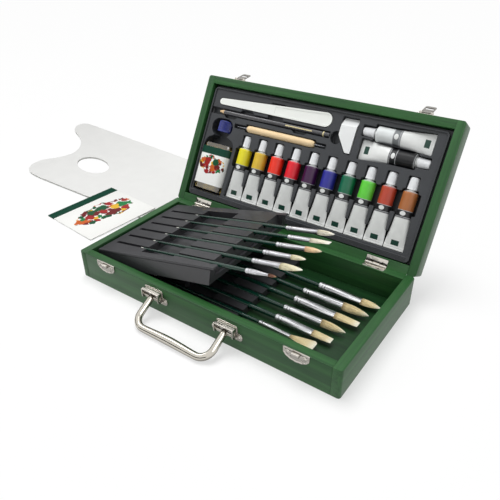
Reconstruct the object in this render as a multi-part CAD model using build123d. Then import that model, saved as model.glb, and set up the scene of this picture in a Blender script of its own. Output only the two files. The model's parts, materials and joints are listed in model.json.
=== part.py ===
from build123d import *
import os
from math import asin, cos, degrees, radians, sin, tan

# An oil paint set in a hinged wooden box, open, with its contents laid out.
# Millimetres. X runs along the front from the left end, Y from the front face to the
# back, Z up from the table. Pieces are drawn from the box's left front corner and moved
# on export, so that the origin is the centre of the box's underside.

# Box
LENGTH = 380.0
DEPTH = 190.0
BASE_H = 38.0
LID_H = 28.0
BOARD = 11.0
PANEL = 3.0
OUTER_CORNER_R = 3.5
LID_ANGLE = 118.6

# Butt hinges on the back rims
HINGE_X = (50.0, 329.0)
HINGE_W = 28.0
HINGE_OUT = 0.3
LEAF_T = 1.0
LEAF_DEPTH = 9.0
KNUCKLE_R = 1.9
HINGE_PIN_R = 0.8
RUNNING = 0.05
KNUCKLE_GAP = 0.3

# Screws
SHANK_R = 1.1
SHANK_L = 7.0
FLUSH_HEAD_R = 2.1
FLUSH_HEAD_H = 0.9
DOME_HEAD_R = 2.0
DOME_HEAD_H = 1.1

# Front latches
PLATE_T = 1.2
CATCH_W = 31.0
CATCH_DROP = 14.5
CATCH_SIDE = 6.0
NUB = (9.0, 4.0, 3.4)
NUB_Z = 34.5
LATCH_Z = 46.0
LATCH_Y = -3.0
LATCH_BARREL_R = 1.5
LATCH_PIN_R = 0.7
HASP_W = 14.0
HASP_L = 19.0
HASP_T = 1.0
HASP_FOLD = 145.0

# Handle
HANDLE_X = (132.5, 241.5)
HANDLE_PIVOT_Y = -5.0
HANDLE_PIVOT_Z = 23.0
HANDLE_REACH = 37.5
HANDLE_DROOP = 28.8
LEG_R = 3.5
CORNER_R = 4.0
CORNER_BEND = 15.0
GRIP_R = 4.5
HANDLE_PIN_R = 1.6
MOUNT_W = 42.0
MOUNT_SCREW = 16.8
CHEEK_OUT = 13.3

# Vacuum-formed trays
SKIN = 0.8
TRAY_FIT = 1.0
LIP_D = 3.0
LIP_W = 4.0
SURFACE_D = 5.0
DECK_GAP = 2.6
DECK_R = 5.5
BEAD_W = 2.4
HINGE_LIP = 7.6
SKIRT_D = 10.0
MOUTH_FLARE = 0.6
FOOT_EASE = 1.2
LOWER_TRAY_END = 228.0
LOWER_TRAY_TOP = 13.5
UPPER_TRAY_H = 22.0
UPPER_TRAY_L = 200.4
UPPER_TRAY_D = 155.0
UPPER_TRAY_FLARE = 3.0
UPPER_TRAY_LIFT = 0.15
PLATEAU_H = 3.4
END_TROUGH_D = 15.0
UPPER_TRAY_X = 15.6
UPPER_TRAY_Y = 19.4
UPPER_TRAY_TILT = 12.9

# Brushes
SLOT_SKEW = -3.9
UPPER_AXIS = -2.0
UPPER_SLOT_FLOOR = -5.7
LOWER_AXIS_Z = 10.1
LOWER_SLOT_FLOOR = 6.65
FERRULE_STEP = 0.95
UPPER_BELLY_R = 2.45
UPPER_NECK_R = 2.0
LOWER_NECK_R = 2.65
FAN_NECK_R = 2.0

# Paint tubes: lengths from the cap's tip
TUBE_PITCH = 27.7
TUBE_FIRST_X = 91.5
TUBE_TIP_V = 75.0
TUBE_AXIS_D = 11.0
CAP_L = 15.5
SHOULDER_AT = 19.0
TAPER_AT = 44.0
CRIMP_AT = 88.0
TUBE_L = 92.0

# Bottle
BOTTLE_X = 45.5
BOTTLE_W = 51.0
BOTTLE_T = 25.5
BOTTLE_WALL = 2.0
BOTTLE_BASE_V = 168.0
BOTTLE_SHOULDER_V = 100.0
BOTTLE_NECK_V = 86.0
BOTTLE_MOUTH_V = 70.0
BOTTLE_AXIS_D = 10.9

# Palette and booklet on the table
PALETTE_T = 3.0
BOOKLET_W = 117.0
BOOKLET_L = 125.0
BOOKLET_T = 1.6
BOOKLET_TURN = -6.0


def block(x0, x1, y0, y1, z0, z1):
    """A box between two opposite corners."""
    middle = Pos((x0 + x1) / 2, (y0 + y1) / 2, (z0 + z1) / 2)
    return middle * Box(x1 - x0, y1 - y0, z1 - z0)


def rod_x(x0, x1, y, z, r):
    """A round bar along X."""
    return Pos((x0 + x1) / 2, y, z) * Rot(0, 90, 0) * Cylinder(r, x1 - x0)


def opened(solid):
    """A lid piece drawn closed, swung about the hinge axis to where it stands open."""
    at = Pos(0, DEPTH + HINGE_OUT, BASE_H)
    return at * Rot(-LID_ANGLE, 0, 0) * at.inverse() * solid


def tilted(solid):
    """A piece of the upper tray drawn flat, raised at its right end."""
    at = Pos(UPPER_TRAY_X, 0, LOWER_TRAY_TOP)
    return at * Rot(0, -UPPER_TRAY_TILT, 0) * at.inverse() * solid


def save(node, *solids):
    """Write one sub-part, with the origin moved to the centre of the box's underside."""
    placed = [Pos(-LENGTH / 2, -DEPTH / 2, 0) * s for s in solids]
    flat = [piece for s in placed for piece in s.solids()]
    shape = flat[0] if len(flat) == 1 else Compound(children=flat)
    export_step(shape, f"parts/{node}.step")


# Screws


def flush_screw():
    """A countersunk screw standing on its point, its flat head at the top at z 0."""
    outline = Polyline(
        (0, 0),
        (FLUSH_HEAD_R, 0),
        (SHANK_R, -FLUSH_HEAD_H),
        (SHANK_R, -SHANK_L + 2),
        (0, -SHANK_L),
        close=True,
    )
    return revolve(Plane.XZ * make_face(outline), Axis.Z)


def dome_screw():
    """A round-headed screw, its head sitting on z 0."""
    curve_r = (DOME_HEAD_R**2 + DOME_HEAD_H**2) / (2 * DOME_HEAD_H)
    sweep_angle = degrees(asin(DOME_HEAD_R / curve_r))
    dome = CenterArc((0, DOME_HEAD_H - curve_r), curve_r, 90 - sweep_angle, sweep_angle)
    rest = Polyline(
        (0, DOME_HEAD_H), (0, -SHANK_L), (SHANK_R, -SHANK_L + 2), (SHANK_R, 0), (DOME_HEAD_R, 0)
    )
    return revolve(Plane.XZ * make_face([dome, rest]), Axis.Z)


def pilot(length):
    """The hole that a screw's shank fills, from z 0 down."""
    return Pos(0, 0, -length / 2) * Cylinder(SHANK_R, length)


def hinge_screw_places():
    """Where the flush screws sit on the base rim. The lid's are their mirror image."""
    y = DEPTH - LEAF_DEPTH / 2 - 0.6
    return [Pos(x + side * 9.0, y, BASE_H - 0.05) for x in HINGE_X for side in (-1, 1)]


def lid_hinge_screw_places():
    return [
        Pos(p.position.X, p.position.Y, BASE_H + 0.05) * Rot(180, 0, 0)
        for p in hinge_screw_places()
    ]


def facing_front(x, z, y=-PLATE_T):
    """A place on the front face, with local +Z towards the viewer."""
    return Pos(x, y, z) * Rot(90, 0, 0)


def front_screw_places():
    catch = [facing_front(x + side * 10.0, 32.6) for x in HINGE_X for side in (-1, 1)]
    mount = [facing_front(x + side * MOUNT_SCREW, 20.0) for x in HANDLE_X for side in (-1, 1)]
    return catch + mount


def lid_front_screw_places():
    return [facing_front(x + side * 7.0, 54.0) for x in HINGE_X for side in (-1, 1)]


# Wooden box


def mortise(x, up):
    """The room a hinge takes in a board's rim, below the rim for the base or above it."""
    low, high = (0, LEAF_T) if up else (-LEAF_T, 0)
    leaf = block(
        x - HINGE_W / 2 - 0.2,
        x + HINGE_W / 2 + 0.2,
        DEPTH - LEAF_DEPTH - 0.2,
        DEPTH + 1,
        BASE_H + low,
        BASE_H + high,
    )
    relief = KNUCKLE_R + 0.3
    knuckle = rod_x(
        x - HINGE_W / 2 - 0.2, x + HINGE_W / 2 + 0.2, DEPTH + HINGE_OUT, BASE_H, relief
    )
    return leaf + knuckle


def base_boards():
    """The base's four boards, butt jointed, with the ends running the full depth."""
    front = block(BOARD, LENGTH - BOARD, 0, BOARD, 0, BASE_H)
    back = block(BOARD, LENGTH - BOARD, DEPTH - BOARD, DEPTH, 0, BASE_H)
    for x in HINGE_X:
        back -= mortise(x, up=False)
    for place in hinge_screw_places():
        back -= place * pilot(SHANK_L)
    for place in front_screw_places():
        front -= place * pilot(SHANK_L)
    ends = [end_board(x, 0, BASE_H) for x in (0, LENGTH - BOARD)]
    return front, back, ends


def end_board(x, z0, z1):
    """An end board with its two outer upright corners eased."""
    board = block(x, x + BOARD, 0, DEPTH, z0, z1)
    outer = board.edges().filter_by(Axis.Z).sort_by(Axis.X)
    return fillet(outer[:2] if x == 0 else outer[2:], OUTER_CORNER_R)


def lid_boards():
    top = BASE_H + LID_H
    front = block(BOARD, LENGTH - BOARD, 0, BOARD, BASE_H, top)
    back = block(BOARD, LENGTH - BOARD, DEPTH - BOARD, DEPTH, BASE_H, top)
    for x in HINGE_X:
        back -= mortise(x, up=True)
    for place in lid_hinge_screw_places():
        back -= place * pilot(SHANK_L)
    for place in lid_front_screw_places():
        front -= place * pilot(SHANK_L)
    ends = [end_board(x, BASE_H, top) for x in (0, LENGTH - BOARD)]
    return front, back, ends


def panel(z0):
    """A thin plywood panel set between the boards."""
    return block(BOARD, LENGTH - BOARD, BOARD, DEPTH - BOARD, z0, z0 + PANEL)


# Hinges


def hinge_leaf(x, lid):
    """One leaf. The base's leaf carries the two outer knuckles, the lid's the middle one."""
    third = HINGE_W / 3
    edge = HINGE_W / 2
    spans = [(-third / 2 + KNUCKLE_GAP, third / 2 - KNUCKLE_GAP)]
    if not lid:
        spans = [(-edge, -third / 2), (third / 2, edge)]
    z0, z1 = (0.05, LEAF_T) if lid else (-LEAF_T, -0.05)
    reach = DEPTH + HINGE_OUT
    leaf = block(x - edge, x + edge, DEPTH - LEAF_DEPTH, reach - 2.3, BASE_H + z0, BASE_H + z1)
    for a, b in spans:
        leaf += block(x + a, x + b, reach - 2.4, reach, BASE_H + z0, BASE_H + z1)
        leaf += rod_x(x + a, x + b, reach, BASE_H, KNUCKLE_R)
    bore = HINGE_PIN_R + (RUNNING if lid else 0)
    leaf -= rod_x(x - edge - 1, x + edge + 1, reach, BASE_H, bore)
    places = lid_hinge_screw_places() if lid else hinge_screw_places()
    for place in places:
        leaf -= place * flush_screw()
    return leaf


def hinge_pin(x):
    return rod_x(x - HINGE_W / 2, x + HINGE_W / 2, DEPTH + HINGE_OUT, BASE_H, HINGE_PIN_R)


# Latches


def catch_plate(x):
    """A half-moon plate on the base with a raised nub that the hasp drops over."""
    half, top = CATCH_W / 2, BASE_H - 0.2
    side = BASE_H - CATCH_SIDE
    sides = Polyline((-half, side), (-half, top), (half, top), (half, side))
    arc = ThreePointArc((half, side), (0, BASE_H - CATCH_DROP), (-half, side))
    plate = extrude(Plane.XZ * make_face([sides, arc]), PLATE_T)
    nub_w, nub_h, nub_out = NUB
    nub = block(
        -nub_w / 2, nub_w / 2, -PLATE_T - nub_out, -0.2, NUB_Z - nub_h / 2, NUB_Z + nub_h / 2
    )
    nub = fillet(nub.edges().filter_by(Axis.Z).sort_by(Axis.Y)[:2], 1.2)
    placed = Pos(x, 0, 0) * (plate + nub)
    for place in front_screw_places():
        placed -= place * Cylinder(SHANK_R, 6)
    return placed


def latch_plate(x):
    """The plate on the lid that carries the hasp between two barrels."""
    plate = block(x - 11, x + 11, -PLATE_T, 0, 42.5, 58.5)
    plate = fillet(plate.edges().filter_by(Axis.Y), 2.5)
    for side in (-1, 1):
        a, b = sorted((x + side * 5.4, x + side * 8.6))
        plate += rod_x(a, b, LATCH_Y, LATCH_Z, LATCH_BARREL_R)
        plate += block(a, b, LATCH_Y, -0.2, LATCH_Z - 1.1, LATCH_Z + 1.1)
    plate -= rod_x(x - 12, x + 12, LATCH_Y, LATCH_Z, LATCH_PIN_R)
    for place in lid_front_screw_places():
        plate -= place * Cylinder(SHANK_R, 6)
    return plate


def latch_pin(x):
    return rod_x(x - 8.6, x + 8.6, LATCH_Y, LATCH_Z, LATCH_PIN_R)


def hasp(x):
    """The swinging hasp, drawn hanging: barrel, tongue with a window, rolled finger lip."""
    tongue = block(-HASP_W / 2, HASP_W / 2, -HASP_T / 2, HASP_T / 2, -HASP_L, -1.0)
    tongue -= block(-HASP_W, -5.1, -2, 2, -4.0, 2)
    tongue -= block(5.1, HASP_W, -2, 2, -4.0, 2)
    foot = tongue.edges().filter_by(Axis.Y).sort_by(Axis.Z)[:2]
    tongue = fillet(foot, 3.0)
    window = block(-5.2, 5.2, -2, 2, NUB_Z - LATCH_Z - 2.3, NUB_Z - LATCH_Z + 2.3)
    lip = rod_x(-4.0, 4.0, -1.0, -HASP_L + 0.6, 1.5)
    body = tongue - window + lip + rod_x(-5.1, 5.1, 0, 0, LATCH_BARREL_R)
    body -= rod_x(-8, 8, 0, 0, LATCH_PIN_R + RUNNING)
    return Pos(x, LATCH_Y, LATCH_Z) * Rot(-HASP_FOLD, 0, 0) * body


# Handle


def handle_mount(x):
    """A stamped plate with two screw ears and a raised bridge that traps the handle's end."""
    ears = SlotOverall(MOUNT_W, 9.5)
    middle = Pos(0, 6.2) * RectangleRounded(2 * CHEEK_OUT + 2, 15.5, 3)
    plate = extrude(Plane.XZ * (Pos(0, 20.0) * (ears + middle)), PLATE_T)
    cheek_in, cheek_out, top = CHEEK_OUT - 1.4, CHEEK_OUT, 32.4
    bridge = block(-cheek_out, cheek_out, -8.6, -0.4, top - 1.4, top)
    for side in (-1, 1):
        a, b = sorted((side * cheek_in, side * cheek_out))
        cheek = block(a, b, -8.6, -0.4, 18.6, top)
        lower = cheek.edges().filter_by(Axis.X).group_by(Axis.Z)[0].sort_by(Axis.Y)[0]
        bridge += fillet(lower, 4.0)
    front_top = bridge.edges().filter_by(Axis.X).group_by(Axis.Z)[-1].sort_by(Axis.Y)[0]
    bridge = fillet(front_top, 1.2)
    mount = Pos(x, 0, 0) * (plate + bridge)
    mount -= rod_x(
        x - CHEEK_OUT - 2, x + CHEEK_OUT + 2, HANDLE_PIVOT_Y, HANDLE_PIVOT_Z, HANDLE_PIN_R + RUNNING
    )
    for place in front_screw_places():
        mount -= place * Cylinder(SHANK_R, 6)
    return mount


def bail():
    """The handle, drawn straight out from its pivots along -Y, then drooped to the table."""
    span = HANDLE_X[1] - HANDLE_X[0]
    leg_l = HANDLE_REACH - CORNER_BEND
    leg_outline = Polyline((0, 0), (LEG_R, 0), (CORNER_R, leg_l), (0, leg_l), close=True)
    leg = revolve(make_face(leg_outline), Axis.Y)
    leg = Rot(180, 0, 0) * leg + Sphere(LEG_R)
    half = span / 2 - CORNER_BEND
    ends = ThreePointArc((-half, CORNER_R), (0, GRIP_R), (half, CORNER_R))
    rest = Polyline((half, CORNER_R), (half, 0), (-half, 0), (-half, CORNER_R))
    grip = revolve(make_face([ends, rest]), Axis.X)
    whole = Pos(0, -HANDLE_REACH, 0) * grip
    for side in (-1, 1):
        at = Pos(side * span / 2, 0, 0)
        pin = rod_x(-CHEEK_OUT, CHEEK_OUT, 0, 0, HANDLE_PIN_R)
        centre = Pos(side * (span / 2 - CORNER_BEND), -leg_l, 0)
        bend_path = CenterArc((0, 0), CORNER_BEND, 180 if side < 0 else 270, 90)
        start = Plane(bend_path @ 0, z_dir=bend_path % 0)
        bend = sweep(start * Circle(CORNER_R), path=bend_path)
        whole += at * (leg + pin)
        whole += centre * bend
    middle = (HANDLE_X[0] + HANDLE_X[1]) / 2
    return Pos(middle, HANDLE_PIVOT_Y, HANDLE_PIVOT_Z) * Rot(HANDLE_DROOP, 0, 0) * whole


# Outlines that both a piece and its pocket use


def tube_outline(clear, body_r, crimp_half, cap_r=6.5):
    """A tube seen from above, cap tip at the origin, running along +Y."""
    right = [
        (cap_r + clear, -clear),
        (cap_r + clear, CAP_L + 1.0 - clear),
        (body_r + clear, CAP_L + 1.0 - clear),
        (body_r + clear, TAPER_AT),
        (crimp_half + clear, TUBE_L + clear),
    ]
    left = [(-x, y) for x, y in reversed(right)]
    return Polygon(*right, *left, align=None)


SMALL_TUBE = {"body_r": 9.6, "crimp_half": 13.4}
LARGE_TUBE = {"body_r": 10.2, "crimp_half": 13.0}
LARGE_AXIS_D = 11.6
WHITE_TUBE_AT = (258.5, 32.8)
BLACK_TUBE_AT = (353.0, 56.2)


def knife_outline(clear):
    """The plastic palette knife from above: rounded handle at the right, slim blade."""
    right_c, right_r = (203.5, 29.5), 9.5 + clear
    left_c, left_r = (32.5, 33.3), 4.5 + clear
    slope = radians(-1.3)
    up, down = (sin(-slope), cos(slope)), (sin(slope), -cos(slope))
    top = [(left_c[0] + left_r * up[0], left_c[1] + left_r * up[1])]
    top.append((right_c[0] + right_r * up[0], right_c[1] + right_r * up[1]))
    low = [(right_c[0] + right_r * down[0], right_c[1] + right_r * down[1])]
    low.append((left_c[0] + left_r * down[0], left_c[1] + left_r * down[1]))
    right_end = ThreePointArc(top[1], (right_c[0] + right_r, right_c[1]), low[0])
    left_end = ThreePointArc(low[1], (left_c[0] - left_r, left_c[1]), top[0])
    return make_face([Line(*top), right_end, Line(*low), left_end])


def eraser_outline(clear):
    c = clear
    return Polygon(
        (228 - c, 21 - c), (250 + c, 21 - c), (250 + c, 66 + c), (243 - c, 66 + c), (228 - c, 45),
        align=None,
    )


def bottle_outline(clear):
    """The bottle from above, base at +Y: straight sides, rounded shoulders, short neck."""
    half, neck = BOTTLE_W / 2 + clear, 9.0 + clear
    right = [
        (neck, BOTTLE_NECK_V - 10),
        (neck, BOTTLE_NECK_V - 1.6),
        (neck + 4, BOTTLE_NECK_V - 1.2),
        (half - 4.7, BOTTLE_NECK_V + 2.6),
        (half - 1.2, BOTTLE_SHOULDER_V - 6),
        (half, BOTTLE_SHOULDER_V + 1),
        (half, BOTTLE_BASE_V + clear),
    ]
    left = [(-x, y) for x, y in reversed(right)]
    return Pos(BOTTLE_X, 0) * Polygon(*right, *left, align=None)


# Lid tray


def eased(outline, inside, outside):
    """An outline with its inside corners rounded and then its outside corners."""
    grown = offset(outline, amount=inside, kind=Kind.ARC)
    shrunk = offset(grown, amount=-(inside + outside), kind=Kind.ARC)
    return offset(shrunk, amount=outside, kind=Kind.ARC)


def lid_pockets():
    """Each pocket's outline, with the depth of its floor below the lid's rim."""
    knife = eased(knife_outline(1.0), 1, 1)
    knife_well = eased(Pos(127.5, 34.5) * Rectangle(25, 26), 1, 3)
    pencil = eased(Pos(115.5, 48.0) * Rectangle(200, 9.0), 1, 1.5)
    for x, y in ((53.0, 50.0), (80.0, 46.0), (170.0, 49.5)):
        pencil += Pos(x, y) * RectangleRounded(24, 12, 5.5)
    needle = Pos(141.5, 64.2) * Rectangle(115, 11.4)
    needle += Pos(139.5, 64.2) * Rectangle(151, 6.0)
    needle = eased(needle, 1, 1.5)
    rubber = eased(eraser_outline(0.9), 1, 1.5)
    rubber += Pos(225.5, 49.5) * Circle(8.5)
    white = Pos(*WHITE_TUBE_AT) * Rot(0, 0, -90) * eased(tube_outline(0.7, **LARGE_TUBE), 1.5, 1.5)
    black = Pos(*BLACK_TUBE_AT) * Rot(0, 0, 90) * eased(tube_outline(0.7, **LARGE_TUBE), 1.5, 1.5)
    row = Pos(216.2, 108.0) * Rectangle(278, 27)
    for i in range(10):
        x = TUBE_FIRST_X + i * TUBE_PITCH
        row += Pos(x, TUBE_TIP_V) * tube_outline(0.7, **SMALL_TUBE)
    row = eased(row, 1.5, 1.5)
    bottle = bottle_outline(0.8) + Pos(43.5, 71.0) * RectangleRounded(37, 26, 12.5)
    bottle = eased(bottle, 1.5, 1.5)
    return [
        (knife, 8.2),
        (knife_well, 12.5),
        (pencil, 11.7),
        (needle, 13.3),
        (rubber, 15.9),
        (white, 22.0),
        (black, 22.0),
        (row, 20.9),
        (bottle, 24.1),
    ]


def sunk(outline, depth):
    """The room in a pocket: a flared mouth at z 0, straight walls and an eased floor."""
    mouth = extrude(offset(outline, amount=MOUTH_FLARE, kind=Kind.ARC), MOUTH_FLARE, taper=45)
    wall = extrude(outline, depth - FOOT_EASE)
    foot = Pos(0, 0, depth - FOOT_EASE) * extrude(outline, FOOT_EASE, taper=45)
    return mouth + wall + foot


def deck_outline(inset, near_hinge):
    """The lid tray's raised part from the front of the lid to the hinges, corners rounded."""
    x0, x1 = BOARD + TRAY_FIT + DECK_GAP + inset, LENGTH - BOARD - TRAY_FIT - DECK_GAP - inset
    y0, y1 = BOARD + TRAY_FIT + DECK_GAP + inset, DEPTH - BOARD - TRAY_FIT - near_hinge
    radius = DECK_R - inset
    return Pos((x0 + x1) / 2, (y0 + y1) / 2) * RectangleRounded(x1 - x0, y1 - y0, radius)


def lid_tray():
    """The vacuum-formed tray that fills the lid, drawn closed, with its pockets facing down."""
    far = LID_H - PANEL - 0.2
    x0, x1 = BOARD + TRAY_FIT, LENGTH - BOARD - TRAY_FIT
    y0, y1 = BOARD + TRAY_FIT, DEPTH - BOARD - TRAY_FIT
    deck = Pos(0, 0, LIP_D) * extrude(deck_outline(0, 0), SKIRT_D - LIP_D)
    deck -= Pos(0, 0, LIP_D) * extrude(deck_outline(BEAD_W, HINGE_LIP), SURFACE_D - LIP_D)
    deck = fillet(deck.edges().group_by(Axis.Z)[0], 0.9)
    for y in (y1 - 6.2, y1 - 4.4, y1 - 2.6):
        deck -= block(x0 + 7, x1 - 7, y, y + 0.9, LIP_D, LIP_D + 0.9)
    tray = deck + block(x0, x1, y0, y1, SKIRT_D, far)
    hollow = Pos(0, 0, SURFACE_D + SKIN) * extrude(deck_outline(SKIN, SKIN), SKIRT_D - SURFACE_D)
    hollow += block(x0 + SKIN, x1 - SKIN, y0 + SKIN, y1 - SKIN, SKIRT_D + SKIN, far)
    room = []
    for outline, floor in lid_pockets():
        wall = offset(outline, amount=SKIN, kind=Kind.ARC)
        hollow -= Pos(0, 0, LIP_D) * extrude(wall, floor - LIP_D + SKIN)
        room.append(Pos(0, 0, SURFACE_D) * sunk(outline, floor - SURFACE_D))
    tray -= hollow
    for pocket in room:
        tray -= pocket
    return Pos(0, 0, BASE_H) * tray


# Brush trays


def slot(u0, u1, v, width, g):
    """A brush slot on the upper tray, turned by the skew about its left end."""
    length = u1 - u0 + 2 * g
    return Pos(u0 - g, v) * Rot(0, 0, SLOT_SKEW) * Pos(length / 2, 0) * Rectangle(
        length, width + 2 * g
    )


def upper_v(i):
    """Where brush i crosses the line of the handle tips, from the tray's front edge."""
    return 21.2 + 21.3 * i


def upper_pockets(g):
    """The upper tray's sunk shapes, grown by g, with how far their floors lie below its top."""
    drift = tan(radians(SLOT_SKEW))
    tails = Sketch() + [slot(11.0, 76, upper_v(i) - drift * 50, 4.6, g) for i in range(6)]
    bands = Sketch() + [slot(74, 189, upper_v(i) + drift * 13, 7.4, g) for i in range(6)]
    finger_trough = Pos(101.5, 75.5) * Rectangle(55 + 2 * g, 132 + 2 * g)
    end_trough = Pos(201.0, 78.0) * Rectangle(26 + 2 * g, 140 + 2 * g)
    slot_floor = -UPPER_SLOT_FLOOR
    return [
        (tails, slot_floor),
        (bands, slot_floor),
        (finger_trough, 10.0),
        (end_trough, END_TROUGH_D),
    ]


def flared(u0, u1, v0, v1, flare, height):
    """A block that spreads from its top outline at z 0 down to its foot."""
    top = Pos((u0 + u1) / 2, (v0 + v1) / 2) * Rectangle(u1 - u0, v1 - v0)
    foot = Pos((u0 + u1) / 2, (v0 + v1) / 2, -height) * Rectangle(
        u1 - u0 + 2 * flare, v1 - v0 + 2 * flare
    )
    return loft([foot, top])


def upper_body(inset):
    """Below the plateau the tray spreads to its foot, and its right end slants back under."""
    length, depth, top = UPPER_TRAY_L, UPPER_TRAY_D, -PLATEAU_H
    flare = UPPER_TRAY_FLARE
    sketches = []
    for z, spread, end in ((-UPPER_TRAY_H, flare, length - 10.0), (top, 0.3, length - 5.0)):
        u0, u1 = inset - spread, end - inset
        v0, v1 = inset - spread, depth + spread - inset
        outline = Rectangle(u1 - u0, v1 - v0)
        sketches.append(Pos((u0 + u1) / 2, (v0 + v1) / 2, z) * outline)
    return loft(sketches)


def upper_tray():
    """The upper brush tray, drawn flat and then raised: a flared shell, open underneath."""
    length, depth, height = UPPER_TRAY_L, UPPER_TRAY_D, UPPER_TRAY_H
    plateau = flared(0, length, 0, depth, 0.6, PLATEAU_H - 0.9)
    plateau = fillet(plateau.edges().group_by(Axis.Z)[-1], 1.2)
    neck = block(0.9, length - 5.6, 0.9, depth - 0.9, -PLATEAU_H - 0.2, -PLATEAU_H + 1.2)
    tray = plateau + neck + upper_body(0)
    inner = upper_body(SKIN + 0.3)
    inner += block(1.9, length - 7, 1.9, depth - 1.9, -PLATEAU_H - 0.5, -SKIN - 0.4)
    for outline, floor in upper_pockets(SKIN):
        inner -= extrude(outline, -(floor + SKIN))
    tray -= inner
    for outline, floor in upper_pockets(0):
        tray -= extrude(outline, -floor)
    lift = LOWER_TRAY_TOP + height + UPPER_TRAY_LIFT
    return Pos(UPPER_TRAY_X + UPPER_TRAY_FLARE, UPPER_TRAY_Y, lift) * tray


def lower_pockets(g):
    """The lower tray's slots and its finger trough, grown by g, with their floor heights."""
    slots = Sketch()
    for x, y, _ in LOWER_BRUSHES.values():
        x0 = x - 4.0
        x1 = LOWER_TRAY_END + 5
        slots += Pos((x0 + x1) / 2, y) * Rectangle(x1 - x0 + 2 * g, 9.0 + 2 * g)
    trough = Pos(160, DEPTH / 2) * Rectangle(46 + 2 * g, 134 + 2 * g)
    return [(slots, LOWER_SLOT_FLOOR), (trough, 5.0)]


def lower_tray():
    """The lower brush tray on the base's floor, its slots open at the right end."""
    x0, x1 = BOARD + TRAY_FIT, LOWER_TRAY_END
    y0, y1 = BOARD + TRAY_FIT, DEPTH - BOARD - TRAY_FIT
    top, surface = LOWER_TRAY_TOP, LOWER_TRAY_TOP - 1.0
    tray = block(x0, x1, y0, y1, PANEL, top)
    tray -= block(x0 + LIP_W, x1 + 1, y0 + LIP_W, y1 - LIP_W, surface, top + 1)
    hollow = block(
        x0 + SKIN, x1 - SKIN, y0 + SKIN, y1 - SKIN, PANEL, surface - SKIN
    )
    for outline, floor in lower_pockets(SKIN):
        hollow -= Pos(0, 0, top) * extrude(outline, -(top - floor + SKIN))
    tray -= hollow
    for outline, floor in lower_pockets(0):
        tray -= Pos(0, 0, top) * extrude(outline, -(top - floor))
    return tray


# Brushes, each drawn along +X from the tip of its handle


def brush_handle(length, belly, neck):
    """A turned handle: rounded tip, long swelling belly, slimmer neck at the ferrule."""
    curve = Spline(
        (1.2, 1.3), (0.35 * length, 0.78 * belly), (0.72 * length, belly), (length, neck),
        tangents=[(1, 0.03), (1, -0.05)],
    )
    tip = ThreePointArc((0, 0), (0.35, 0.92), (1.2, 1.3))
    rest = Polyline((length, neck), (length, 0), (0, 0))
    return revolve(make_face([tip, curve, rest]), Axis.X)


def across(x, wide, thick):
    """An oval section across the brush's axis."""
    return Plane(origin=(x, 0, 0), x_dir=(0, 1, 0), z_dir=(1, 0, 0)) * Ellipse(wide / 2, thick / 2)


def ferrule(x0, x1, r, wide, thick):
    """The metal sleeve: round where it grips the handle, pressed oval where it holds the hair."""
    if wide == thick:
        outline = Polyline((x0, 0), (x0, r), (x1, wide / 2), (x1, 0), close=True)
        return revolve(make_face(outline), Axis.X)
    return loft([across(x0, 2 * r, 2 * r), across(x1, wide, thick)])


def round_hair(x0, x1, r):
    """A full head that draws to a point."""
    middle = x0 + 0.45 * (x1 - x0)
    side = ThreePointArc((x0, r * 0.94), (middle, r), (x1, 0.25))
    rest = Polyline((x1, 0.25), (x1, 0), (x0, 0), (x0, r * 0.94))
    return revolve(make_face([side, rest]), Axis.X)


def flat_hair(x0, x1, wide, thick):
    """A chisel head that keeps its width and thins to its edge."""
    return loft([across(x0, wide * 0.96, thick * 0.92), across(x1, wide * 0.9, 0.9)])


def filbert_hair(x0, x1, wide, thick):
    """A full, slightly flattened head that rounds off to a soft point."""
    stations = ((0, 0.94, 0.92), (0.38, 1.0, 1.0), (0.74, 0.74, 0.62), (1, 0.12, 0.12))
    return loft([across(x0 + s * (x1 - x0), wide * w, thick * t) for s, w, t in stations])


def fan_hair(x0, x1, wide):
    """A thin fan that spreads from the ferrule's mouth."""
    rays = Polyline((x1 - 3.0, -wide / 2), (x0, -2.3), (x0, 2.3), (x1 - 3.0, wide / 2))
    edge = ThreePointArc((x1 - 3.0, wide / 2), (x1, 0), (x1 - 3.0, -wide / 2))
    return Pos(0, 0, -1.0) * extrude(make_face([rays, edge]), 2.0)


HEADS = {"flat": flat_hair, "filbert": filbert_hair}

# Upper brushes: row, handle tip's distance along the tray, then the brush itself, as the ends
# of its handle, ferrule and hair, the hair's shape, and the head's width and thickness
UPPER_BRUSHES = {
    "round_brush_brown": (0, 60, ((180, 210, 220), "round", 3.4, 3.4)),
    "filbert_brush_wide": (1, 61, ((172, 211, 238), "filbert", 10.4, 8.2)),
    "filbert_brush_cream": (2, 62, ((171, 210, 228), "filbert", 7.8, 5.8)),
    "round_brush_tan": (3, 63, ((174, 214, 235), "round", 6.8, 6.8)),
    "flat_brush_white": (4, 60, ((180, 211, 237), "flat", 8.2, 5.2)),
    "round_brush_white": (5, 61, ((162, 208, 230), "round", 6.6, 6.6)),
}

# Lower brushes: the handle tip's x and y, then the brush itself
LOWER_BRUSHES = {
    "fan_brush": (88, 43, ((167, 208, 239), "fan", 17.0, 5.0)),
    "flat_brush_small": (98, 62, ((168, 216, 240), "flat", 10.6, 5.4)),
    "round_brush_medium": (98, 83, ((166, 216, 246), "round", 10.0, 10.0)),
    "flat_brush_medium": (98, 104, ((168, 222, 252), "flat", 11.6, 5.8)),
    "round_brush_large": (98, 125, ((168, 222, 255), "round", 12.6, 12.6)),
    "filbert_brush_large": (108, 146, ((169, 226, 250), "filbert", 13.6, 6.4)),
}


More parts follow.
